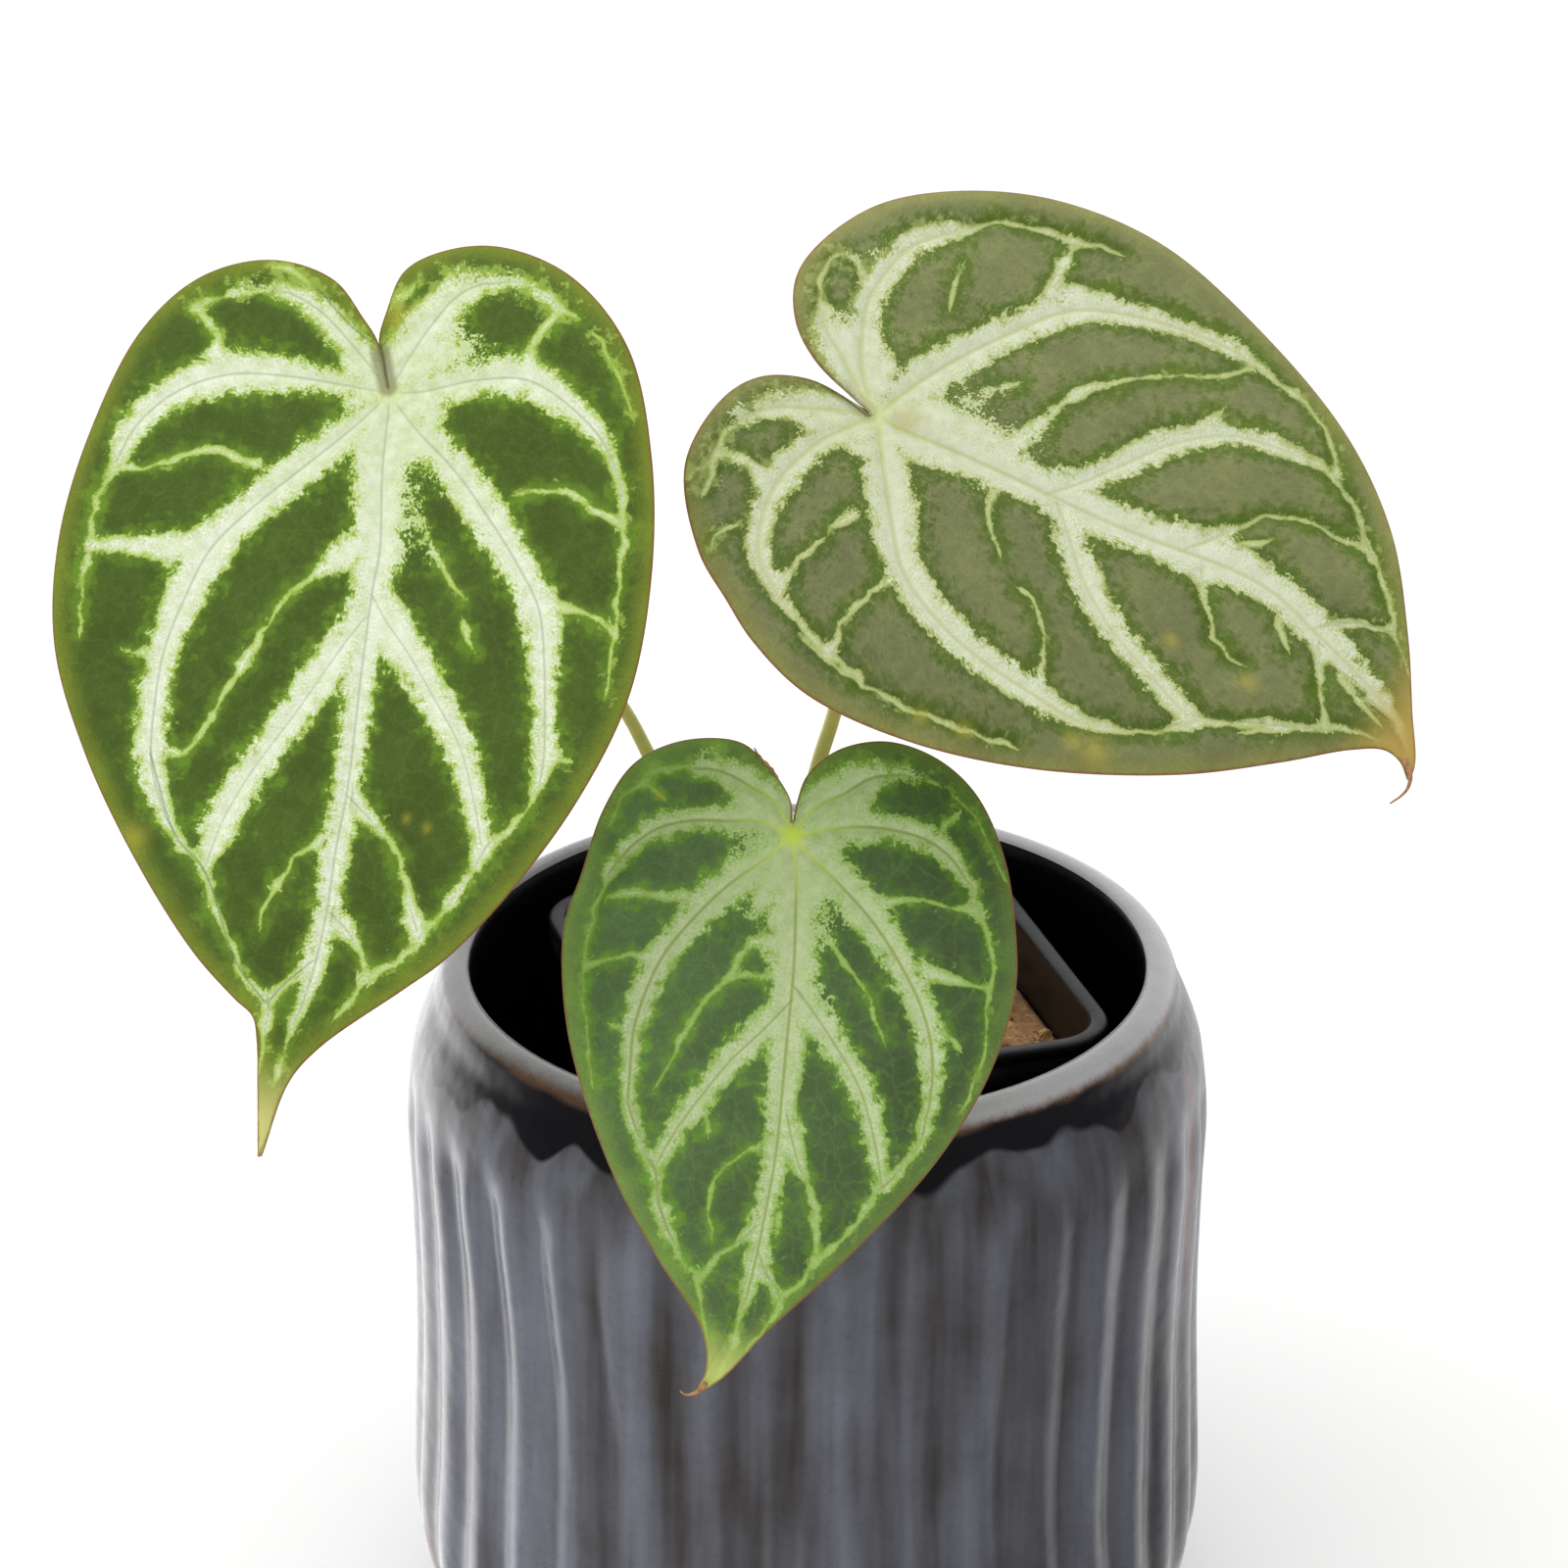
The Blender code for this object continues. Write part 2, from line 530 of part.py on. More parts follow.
def blade_frame(blade):
    """The blade's base, and unit vectors across it, along it and out of its upper face."""
    azimuth, elevation = np.radians(blade["facing"])
    normal = np.array([math.sin(azimuth) * math.cos(elevation), -math.cos(azimuth) * math.cos(elevation),
                       math.sin(elevation)])
    base = np.array(blade["base"])
    along = np.array(blade["tip"]) - base
    along = unit(along - normal * (along @ normal))
    across = np.cross(normal, along)
    return base, across, along, normal


def blade_outline(blade):
    """The closed margin, down the left side to the tip and back up the right side."""
    left = smooth_curve(blade["left_margin"], BLADE_POINTS)
    right = smooth_curve(blade["right_margin"], BLADE_POINTS)
    return np.vstack([left, right[::-1]])


def midrib_x(blade, y):
    """The midrib's x at y, straight between its points and 0 above the base."""
    ys, xs = zip(*blade["midrib"])
    return np.interp(y, ys, xs)


def blade_height(blade, x, y, share, turn):
    """How far the surface stands off its plane: arched along the midrib, drooping to the
    sides, and waved at the margin."""
    length = y.max()
    middle = ARCH_MIDDLE * length
    half_width = np.abs(blade["left_margin"]).max()
    height = blade["arch"] * ((middle / length) ** 2 - ((y - middle) / length) ** 2)
    height -= blade["droop"] * (x / half_width) ** 2
    height += blade["wave"] * share ** 3 * np.sin(blade["waves"] * turn + blade["wave_start"])
    return height


def leaf_blade(side, finish):
    """Rings of points from the base out to the margin, with the same triangles on both faces."""
    blade = BLADES[side]
    base, across, along, normal = blade_frame(blade)
    outline = blade_outline(blade)
    count = len(outline)
    turn = 2 * np.pi * np.arange(count) / count
    offset = outline[:, 0] - midrib_x(blade, outline[:, 1])
    flat, shares, turns = [np.zeros((1, 2))], [np.zeros(1)], [np.zeros(1)]
    for share in BLADE_RINGS:
        y = outline[:, 1] * share
        flat.append(np.stack([offset * share + midrib_x(blade, y), y], axis=1))
        shares.append(np.full(count, share))
        turns.append(turn)
    flat, shares, turns = np.vstack(flat), np.concatenate(shares), np.concatenate(turns)
    middle = flat[:, 0] - midrib_x(blade, flat[:, 1])
    height = blade_height(blade, middle, flat[:, 1], shares, turns)
    bulge = height[:, None] * unit(np.array(blade["bulge"]))
    surface = base + flat[:, :1] * across + flat[:, 1:] * along + bulge
    top = surface + normal * BLADE_THICKNESS / 2
    bottom = surface - normal * BLADE_THICKNESS / 2
    triangles = [(0, 1 + i, 1 + (i + 1) % count) for i in range(count)]
    for ring in range(len(BLADE_RINGS) - 1):
        here, out = 1 + ring * count, 1 + (ring + 1) * count
        for i in range(count):
            j = (i + 1) % count
            triangles += [(here + i, out + i, out + j), (here + i, out + j, here + j)]
    below = len(top)
    faces = list(triangles) + [(a + below, c + below, b + below) for a, b, c in triangles]
    rim = 1 + (len(BLADE_RINGS) - 1) * count
    for i in range(count):
        j = (i + 1) % count
        faces += [(rim + j, rim + i, rim + i + below), (rim + j, rim + i + below, rim + j + below)]
    return solid(f"blade_{side}", np.vstack([top, bottom]).tolist(), faces, finish)


clear_scene()
cover_pot()
nursery_pot()
potting_mix()
crown()
stalk = material("olive stalk", "#7d8236", 0.5)
leaf = material("dark green leaf", "#3f5f2c", 0.45)
for leaf_side in BLADES:
    petiole(leaf_side, stalk)
    leaf_blade(leaf_side, leaf)
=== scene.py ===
"""The looks of a potted anthurium: three silver-veined, heart-shaped leaves on slender petioles, a short crown in
bark mix, a square nursery pot, and the ribbed and glazed cover pot round it.

Lengths are in millimetres unless a name says otherwise. +Z is up and the leaves lean towards -Y.
"""
import math
import random
import re
from functools import partial

import bpy
import numpy as np
from bpy.props import FloatProperty, FloatVectorProperty, IntProperty, PointerProperty
from mathutils import Euler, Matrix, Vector


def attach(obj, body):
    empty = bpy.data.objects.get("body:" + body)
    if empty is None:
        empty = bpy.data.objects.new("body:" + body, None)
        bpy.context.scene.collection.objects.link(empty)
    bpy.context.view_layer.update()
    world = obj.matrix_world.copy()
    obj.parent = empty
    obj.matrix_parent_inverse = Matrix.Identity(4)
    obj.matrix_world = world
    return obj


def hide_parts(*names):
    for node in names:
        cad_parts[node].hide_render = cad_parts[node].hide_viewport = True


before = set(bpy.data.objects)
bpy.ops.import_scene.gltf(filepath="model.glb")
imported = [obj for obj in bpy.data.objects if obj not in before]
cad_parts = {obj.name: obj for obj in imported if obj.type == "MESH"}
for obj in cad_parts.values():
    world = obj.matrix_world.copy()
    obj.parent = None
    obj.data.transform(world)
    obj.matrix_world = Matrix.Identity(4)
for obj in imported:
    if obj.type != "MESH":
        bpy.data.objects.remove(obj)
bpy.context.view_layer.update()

bl_info = {
    "name": "Potted anthurium",
    "version": (1, 0, 0),
    "blender": (4, 5, 0),
    "location": "3D View > Sidebar > Anthurium",
    "description": "Builds a silver-veined anthurium in its nursery pot and glazed cover pot",
    "category": "Add Mesh",
}

MM = 0.001  # one millimetre in metres
ROOT = "root"


def table(text):
    """Rows of numbers from text, with a comma between rows."""
    return np.array([row.split() for row in text.split(",")], float)


# The photograph's view: where the camera stands, how far it looks down, and its lens on a 36 mm sensor.
CAMERA_AT = (-3.85, -803.94, 526.57)
CAMERA_PITCH = 24.89  # degrees below the horizon
CAMERA_LENS = 124.94
CAMERA_SENSOR = 36.0
CAMERA_CLIP = (0.05, 50.0)  # in metres
# The overhead light, in metres: where it hangs, what it is aimed at and its width.
LAMP_AT = (-0.45, -0.3, 1.2)
LAMP_AIM = (0.0, -0.02, 0.15)
LAMP_SIZE = 0.7
FLOOR_RINGS = (200.0, 600.0, 2000.0, 8000.0)  # their radii
FLOOR_POINTS = 96

# The cover pot: height and outer radius from the base up to the lip, then its inside down to the floor.
POT_PROFILE = table(
    "0 54.4, 1.4 58, 4.5 61.5, 9.5 64.5, 17 66.7, 26 67.4, 44 66.8, 61 66.2, 82 66.4, 97 66.7, 107 65.6, "
    "113.5 63.4, 117 61.8, 119.3 61.2, 121.4 60.3, 122.6 58.6, 122.9 57.4")
POT_INSIDE = table("122.4 56, 121.2 55.4, 119.6 55.5, 112 56.4, 98 58.8, 30 58.8, 13 56.5, 9 52")
POT_RINGS = (190, 40)  # up the wall, and down its inside
POT_RADIUS = 66.0  # the wall's, on average
RIBS = 36
RIB_STEPS = 12  # points across a rib
RIB_DEPTH = 1.2
RIB_START = (6.0, 16.0)
RIB_END = (96.0, 108.0)

# The nursery pot, a square turned a little in the cover pot.
NURSERY_WIDTH = 78.5
NURSERY_BASE_WIDTH = 60.0
NURSERY_WALL = 1.0
NURSERY_RIM = 3.0
NURSERY_RIM_HEIGHT = 6.0
NURSERY_CORNER = 10.4
NURSERY_CENTRE = (2.6, 3.3)
NURSERY_TURN = math.radians(17.0)
NURSERY_BOTTOM = 9.3
NURSERY_TOP = 119.0
WALL_WIDTH = NURSERY_WIDTH - 2 * (NURSERY_RIM - NURSERY_WALL)
WALL_CORNER = NURSERY_CORNER - NURSERY_RIM + NURSERY_WALL

# The potting mix and the bark chips on it.
GAP = 0.3  # between pieces that touch
MIX_TOP = NURSERY_TOP - 9.5
MIX_BUMP = 0.8
MIX_EDGE_DROP = 1.5
MIX_ROUGHNESS = 0.12
MIX_RINGS = 40  # of its top
CHIP_TRIES = 900
CHIP_SPACING = 0.8
CHIP_SIZES = ((7.0, 13.0), (4.5, 8.0), (2.6, 4.4))  # length, width and thickness
CRUMB_SIZES = ((1.0, 2.6), (0.6, 1.5), (0.4, 0.9))  # halves of them
CRUMB_POINTS = 12
CRUMB_CLEARANCE = (3.0, 2.0)  # from the pot's wall and from the crown
CRUMB_SINK = 0.2
CRUMB_RISE = 0.9
CHIP_OUTLINE = table("-1 -1, 0.1 -1.15, 1 -0.8, 1.1 0.3, 0.6 1, -0.9 0.9")
CHIP_TAPER = 0.8
CHIP_SHRINK = (0.85, 1.0)
CHIP_LEAN = 0.35
CRUMB_LEAN = 0.6
CHIP_RAISE = (0.2, 0.5)
CHIP_SEED = 7
CHIP_ROUNDING = 0.45
CHIP_LEVELS = (0.0, 0.04, 0.2, 0.45, 0.7, 0.93, 1.0)  # of its sections
CHIP_TOP = (0.62, 0.3)  # how far the rings on its upper face shrink
# The tone of the mix, the chips and the crumbs, from dark to light, and of the crown and its sheaths, from green
# to dry.
MIX_TONE = -0.02
CHIP_TONES = (-0.05, 0.3)
CRUMB_TONES = (-0.05, 0.35)
CROWN_TONE = -0.1
SHEATH_TONE = 0.55

# The crown and its papery sheaths.
CROWN_AT = (-4.0, 9.0)
CROWN_RADIUS = 6.4
CROWN_FOOT_RADIUS = 5.0
CROWN_BOTTOM = 92.0
CROWN_TOP = 116.0
CROWN_RINGS = (60, 8)  # up its side, and over its head
CROWN_POINTS = 64
SCAR_SPACING = 4.0
SCAR_DEPTH = 0.9
CROWN_EDGE = 1.6
SHEATH_AZIMUTHS = (-4.0, 116.0, 233.0)
SHEATH_HALF_ANGLE = 30.0
SHEATH_HEIGHT = 10.0
SHEATH_LEAN = 1.6
SHEATH_INSET = 1.4

# Petioles: where each one stands in the crown, and the points it runs through on its way to its blade.
PETIOLE_FOOT_HEIGHT = 112.9
PETIOLE_BASE_RADIUS = 1.7
PETIOLE_TOP_RADIUS = {"left": 0.95, "centre": 1.0, "right": 1.1}
PETIOLE_POINTS = (150, 28)  # along a stalk and round it
JOINT_SWELLING = 0.4
JOINT_SPAN = (0.9, 0.955, 0.98, 1.02)  # where it starts, is full, narrows and ends, as shares of the stalk
PETIOLE_FEET = {"left": (-7.4, 9.4), "centre": (-2.6, 5.7), "right": (-2.2, 12.0)}
PETIOLE_ROUTES = {
    "left": table(
        "-8.4 9.2 122, -17.5 6 138, -25.9 2 157.9, -29.1 0.3 165.6, -39.8 -9.5 188, -51.5 -21.5 213, "
        "-59 -31.5 229"),
    "centre": table("-2.4 4.9 122, -2.2 -1 138, -2.9 -13 153, -3 -31 161.5, -2.8 -45.5 165.5"),
    "right": table(
        "-2 11.8 122, -1 10.6 138, 1.8 6.9 154.1, 4.3 4.4 164.2, 7 -1.5 182, 8.8 -12.5 205, 9.5 -23 221.5"),
}

# Blades, as in the part's source: each is drawn on a plane through its base, x to the right and y from the base
# to the tip, and bulges off that plane along bulge. Rows are (x, y), but (y, x) in a midrib. puffs is how much
# more than usual the blade puffs up between its veins.
ARCH_MIDDLE = 0.4
WAVES = 5
BLADES = {
    "left": dict(
        base=(-63.1, -37.2, 235.5), tip=(-80.7, -103.5, 141.4), facing=(-10.0, 36.0), bulge=(0.07, -0.93, 0.35),
        arch=6.0, droop=6.0, wave=1.0, wave_start=0.4, puffs=1.0,
        midrib=table("0 0, 25 1.8, 50 3.8, 75 4.4, 92 3.4, 105 1, 117 -0.1"),
        left_margin=table(
            "-0.45 -0.9, -3.12 -7.7, -6.1 -11.3, -11.7 -16.7, -21.7 -18.7, -32.2 -14.9, -40 -5.6, -45 10.5, "
            "-46.9 28, -44.6 44.5, -37.2 60, -27 74.6, -15.4 87.6, -7.8 93.8, -4.7 96, -3.4 99.6, -2.1 106.5, "
            "-0.3 116.8"),
        right_margin=table(
            "-0.4 -1, -3.05 -7.8, -2.7 -12.5, -0.9 -19.3, 5 -23.2, 13.3 -24.6, 24.5 -21.3, 34.8 -11.5, 41.2 5, "
            "44.2 24, 43.6 42, 38.3 58.3, 29.5 74.6, 22.4 84.3, 17.4 89.1, 6 99.8, 2.4 105.5, 0.3 116.6"),
    ),
    "centre": dict(
        base=(-2.6, -51.6, 168.9), tip=(-18.1, -102.1, 100.2), facing=(2.0, 36.0), bulge=(0.0, -0.9, 0.43),
        arch=4.0, droop=4.5, wave=0.8, wave_start=2.2, puffs=1.0,
        midrib=table("0 0, 12 1.9, 30 4.2, 50 6.2, 65 6, 77 4.4, 87 1"),
        left_margin=table(
            "-0.35 -2.1, -1 -4.9, -2.6 -7.2, -5.2 -9.6, -9.6 -12.6, -14.2 -12.8, -20.8 -10.7, -26 -6.4, -29.2 1.5, "
            "-30.6 12, -31.7 20, -29.6 31.7, -25.4 42.5, -16.5 57.5, -8.4 67.6, 0.2 77.3, 1.8 83, 0.6 86.8"),
        right_margin=table(
            "-0.28 -2.2, -0.2 -5.4, 0.6 -9.6, 4.6 -14.4, 11.7 -17.1, 19.8 -15.9, 26.8 -11.4, 32.7 -2.4, 36.4 9, "
            "37.8 18, 36 31.5, 30.4 45.8, 20 62.1, 10 75.4, 4.6 83.6, 1 87"),
    ),
    "right": dict(
        base=(10.0, -29.3, 228.8), tip=(90.7, -60.8, 182.6), facing=(15.0, 48.0), bulge=(-0.02, -0.93, 0.36),
        arch=5.0, droop=6.5, wave=1.2, wave_start=1.2, puffs=2.4,
        midrib=table("0 0, 15 2.6, 30 5.6, 50 10.4, 68 12.6, 82 9.6, 91 6.4, 98 0.6"),
        left_margin=table(
            "-0.5 -1, -0.2 -6, -1.2 -11.9, -5.3 -17.6, -12 -20.2, -25.2 -18.5, -36 -8.8, -40.2 -0.8, -43.4 6.2, "
            "-45.6 17.5, -42.5 34, -34.8 51, -22 68.8, -10.2 80.6, -1.8 88.2, 1.4 92.5, 1.2 95.5, -0.6 97.9"),
        right_margin=table(
            "0 -1.2, 0.6 -5, 2.2 -12.5, 5.9 -18.6, 12.4 -22.9, 20 -23.4, 31.9 -19.7, 42.5 -10.3, 50.5 2.7, "
            "54.2 19.5, 51.1 39.6, 44 59.7, 34 74, 20.1 85.6, 9.2 93, 2.7 97.4, -0.3 98.3"),
    ),
}

# Veins, drawn on each blade's plane: the kind, and the points (x, y, half the silver band's width). Main
# veins meet at the base and branches leave the midrib, each with a centre line, and the sign says to which side that
# line counts as positive. Links are thin and have no line, and a dark crease has no band.
ONE_VEIN = re.compile("([a-z]+)([-+]?) ([^a-z]+)")
VEINS = {
    "left": """
main+ 0 0 2.5, 0.8 12 4.2, 2.5 24 3.6, 2.4 30 3, 3 45 2.5, 3.8 61 2.1, 3.6 70 2.3, 3.8 80 2, 3.2 89 1.7, 2 95.5 1.1,
  0.8 102 0.7, 0.1 106 0.4
main- 0.5 -2 3, 2.5 -7 4, 5 -12 3.5, 7.5 -15.9 2.6, 10.5 -18.2 1.8, 13.5 -19 1.4, 18 -19.3 1, 22 -17 1, 26.7 -15.1
  0.4
main+ 0 0 2, 5 -0.9 3, 12.9 -3.6 3, 20.4 -4.5 3.2, 27.5 -1.3 2.3, 34.2 4.5 1.4, 37.7 12 0.9, 39 18.3 0.4, 39.8 30
  0.3, 40.4 42 0.1
main- 1 1.2 2, 5 5.1 2.8, 11.7 10.5 2.7, 18.3 17.4 3.3, 23.3 23.3 2.7, 27.9 29.9 2.9, 30.2 38.4 2.4, 31.5 46 1.8,
  32.3 51.3 2, 32.3 56.3 1, 31.3 59.3 0.6, 27.9 64.6 0.9, 25.8 66.8 1.4, 23.8 72.2 0.8, 18.8 80.5 0.9, 15.2 85.6
  0.6, 11.7 88.4 0.9, 9.2 92.9 0.4, 7.9 95 0.2
main- -0.8 -0.9 2, -4.2 -4.3 2.4, -8.3 -8 2.2, -12.5 -11.3 1.9, -18.3 -13.8 1.3, -25 -13.4 0.8, -30.5 -11.3 0.6,
  -31.7 -10 0.6
main+ 0 0 2, -8.3 -0.6 1.9, -16.7 -0.9 2.8, -25 -0.2 3.5, -33 3.6 2.7, -38.3 9.8 2.3, -40.1 15.3 1.2, -41.9 20 0.5,
  -42.1 26 0.7, -41.7 28.5 1, -42 34 0.4, -41.2 42 0.2
main- -0.5 0.6 2, -4.2 5.3 2.8, -12.5 14.1 3, -18.3 20.3 2.9, -23.3 27 3.6, -25.9 35 3.1, -27.6 43 2.3, -27.6 52
  2.5, -26.7 59.7 2.4, -24.2 65.9 1.7, -20.8 70.9 1.2, -15.8 75.2 0.9, -13.3 80.3 0.9, -8.4 88.2 0.7, -5 92.1 0.8,
  -2.9 93.6 1.2, -2.3 100.5 0.3, -1.9 104 0.15
branch+ 2.5 31 2, 5 34.3 3.3, 9.6 39.3 3, 14.6 45.5 2.6, 19.6 52.2 2.4, 22.9 59.7 2, 25.2 66.3 1.4
branch+ 4 61.5 1.5, 5.8 63 1.6, 8.8 65.1 1, 11.7 67.6 0.8, 14.2 72.2 0.5, 16.7 78 1.4, 17.9 80.3 1.2
branch+ 4.5 79.5 1.5, 7 81.3 1.7, 10 84.8 0.9, 11.7 88.2 0.9
branch- 2 34.5 2.5, -0.5 39 3, -5.9 50 2.8, -11.2 60 2.5, -14.3 68 2.7, -14.9 71 2, -15.8 75.1 1
branch- 1.5 69 1.2, -0.3 69.8 0.6, -2.9 73 0.45, -4.2 75.9 0.5
branch- 2.9 87 1.2, 0.4 89.2 1, -2.3 92.9 1.1
link 20.4 -7.2 1.4, 20.8 -10.1 0.8, 23.3 -14.7 0.8
link 37.5 15.6 0.7, 33.3 14.1 0.6, 30 12.2 0.6, 25 12.4 0.4, 22.5 13.2 0.6
link 28.5 30 2, 30.8 29.3 1.2, 36.7 30.4 0.5, 39.6 32 0.3
link 6.5 17 0.4, 10 22 0.4, 13.7 26.8 0.4, 16.3 30 0.3
link 17 33 0.2, 18.2 35.8 0.9, 19.4 37.2 0.3
link 32.5 52 0.8, 35.6 52.6 0.6
link -21 -18 0.3, -17 -16.7 0.4, -14.5 -15.5 0.4
link -31.7 -9.7 0.6, -27.9 -5.9 1.1, -27.7 -3 1.5
link -39.6 16.3 0.9, -35.4 15.5 0.4, -30.4 13.7 0.45, -26.3 12.1 0.5, -20.8 12.7 0.8, -18.5 13.4 1
link -25 27.5 3, -33 27.7 1.7, -41.3 28.4 1.2
link -30 44 0.6, -33 44 0.5
link -1 24 2.6, -3.3 26 2.2, -5.8 28.6 1.2, -9.6 31.8 0.3, -12.1 37.2 0.3, -14.2 42 0.9, -16.7 48 0.5, -19 54.3 0.8,
  -21.3 58 0.7, -23.5 58.6 1.2
link -4.2 75.9 0.4, -5 78.8 0.1, -5.8 82.6 0.1
link -0.8 -14.3 0.4, 1.3 -17.2 0.5
link 6.3 -16.3 0.7, 6 -19.7 0.6
link 29.6 -13 0.05, 35 -5.5 0.1, 37.5 -0.9 0.05
link 1.5 3 3, 3.2 7 3.2, 3.6 9.5 2.5
link 3 1.5 2.2, 7 2.2 2.3
link 3 -3 2.4, 7 -7 2.8, 9.5 -8 2.2
link -2 -2 2.2, -5.5 -3.8 2.2
link -1.5 4 2.6, -2.8 8 2.2
link -2 0.5 2.2, -4.5 1.4 2
dark -27 59 0, -20.8 71 0, -15.8 75.2 0, -8.4 88.4 0, -2.8 94 0
dark 1.6 88.2 0, -1 91 0, -2.8 94 0
dark -13.8 -14.9 0, -7.1 -9.3 0, -4.2 -7.6 0
""",
    "centre": """
main+ 0 0 2.5, 1.5 5 4.5, 2.7 12 4.2, 3.9 20 3.6, 4.6 28 3, 5.3 36 2.4, 6.3 48 2, 6.4 56 1.9, 6.1 68 1.5, 5.6 74 1,
  5 80 0.7, 3.7 85 0.5
main- 0.5 -1 2, 2 -4 3, 4 -6 3.3, 7 -8 3.6, 9 -10 3.3, 11 -11.3 2.3, 15 -12.3 1.1, 19 -12.4 0.6, 20.5 -12 0.3
main+ 0 0 2, 3 -1 3.2, 9 -3 3.2, 15 -3.6 2.3, 20.5 -3 2, 24.5 -1 1.6, 28 2.5 1.1, 30.2 6.5 0.8, 32.5 10.7 0.4, 34 15
  0.3, 34 20 0.25, 34.7 27 0.15, 33.7 34 0.2, 33.3 37 0.1
main- 0 0.5 2, 3 2.5 2.8, 9 6.6 3.3, 15 11.5 2.8, 20 17 2.4, 24 22.5 2.2, 26.7 28.5 2, 27.8 34.5 1.5, 27.8 41 1.2,
  26.3 46 0.9, 23.5 50.3 1.2, 22.3 51.8 1, 20.3 56.5 0.6, 17 61.5 0.7, 14.9 64.5 0.4, 12.8 68 0.6, 11.3 69.5 0.7,
  10.2 73.5 0.3, 7 79 0.15
main- 0 0 2, -2 -3 2.5, -4 -5 2.6, -7 -6 2.6, -10 -7.2 2.3, -13 -7.8 1.6, -18.5 -7.2 0.9, -22 -6 0.5, -23.5 -5 0.4
main+ 0 0 2, -6 -1.2 3, -9 -0.5 2.6, -15 0.5 1.6, -20 2.5 2.1, -23.5 5.8 1.5, -26.2 10.5 1.3, -26.8 15 0.8, -27.8 22
  0.3, -27 28 0.1, -25.2 36 0.05, -23 43 0.02
main- 0 0.5 2, -4 5 3.5, -8.5 9.8 3, -12.5 15.5 2.4, -16 22 2.3, -17.6 28 2.2, -18.3 34 1.7, -17.7 40 1.5, -16.6 46
  1.3, -13.8 51 1.2, -11 55 1.3, -9.8 59 1, -7.7 63 1, -5 67 0.4, -2 69.3 0.5, -0.8 73 0.4, 1.2 78.5 0.2
branch+ 4.5 23 2, 7 25.3 2.6, 12 30.5 2.3, 17 36.5 2.1, 20 42.5 1.8, 22.3 48.5 1.5, 23 50.5 1.3
branch+ 7 42.5 1.5, 8 45.5 1.8, 10.3 50 1.2, 13.2 54.5 0.8, 14.6 59 0.5, 14.9 63.5 0.4
branch+ 6.5 64 1.4, 8 66.5 1.3, 10.5 69.5 0.8
branch- 4.6 25 2, 1 30.5 2.5, -3 36 2.3, -6.3 42 1.9, -9.2 48 1.6, -11 53 1.4
branch- 5.5 60 1.5, 2.5 63.3 0.9, 0 66.5 0.8, -1.3 69.4 0.6
link 2 0.8 2.2, 6 1.4 2.2
link 3 -3 2.4, 7.5 -6 3, 8.5 -8 2.4
link -3 -2.6 2.2, -8 -4 2.2
link -2.5 1.4 2, -5 1.8 1.5
link -1.4 4 2.6, -2.2 8 2.4, -3.2 13 1
link 3 5 2.8, 4.6 8 2.2
link -22 -6 0.4, -24.5 -3.4 0.2, -26.7 -0.5 0.15, -27.2 3.5 0.1
link -24 -3.4 0.4, -22 -2.8 0.3, -20.5 -1.6 0.3
link -13 -9 0.5, -14 -11.3 0.3
link -26 14.3 0.6, -22 13.5 0.6, -18 13 0.8, -14.5 12.2 1
link -18.5 23.2 1.2, -20.5 22.5 0.8, -25 25 0.5, -26.8 25.5 0.5
link -20 34 0.5, -21.5 34.5 0.4
link 0.5 17.5 2, -2 17 1.4, -3.8 18.5 0.9, -4.9 21.5 0.7, -7.2 25.8 0.6, -9.3 29.5 0.35, -11 34.5 0.35, -12.3 39
  0.1, -13 42 0.05
link 1 22 1, -1 22.2 0.8, -5 23.3 0.7
link 3.2 48 0.3, 1 50.5 0.3, -2.3 54.7 0.25, -2.2 59 0.1, -0.7 63.5 0.1
link -5 45 0.4, -4.3 47.5 0.3
link 22.5 -5 0.8, 24 -7.3 0.6
link 30.5 6.8 0.8, 26 6.8 0.3, 20 6.6 0.4, 15.5 7.8 1
link 23.5 17 1.6, 26 17.5 1, 31 18.1 0.3, 33.5 17.9 0.35
link 28 25.5 0.6, 30.5 27.3 0.4
link 6 13 1, 8.5 15 0.8, 11 18 0.5, 15 21.8 0.2, 17.5 25.5 0.4, 19.3 28.8 0.15
link 7.5 58 0.6, 9 59.5 0.4
link 23.5 -10.5 0.05, 28 -7 0.1, 33 1 0.05
dark -16.5 45 0, -13.5 51 0, -11.2 54.2 0, -9.6 59.4 0, -6.2 65 0
dark 5.4 61 0, 2.5 63.3 0, 0.2 65.6 0
dark 7.5 66.5 0, 9.2 67.9 0, 10.5 69.6 0
""",
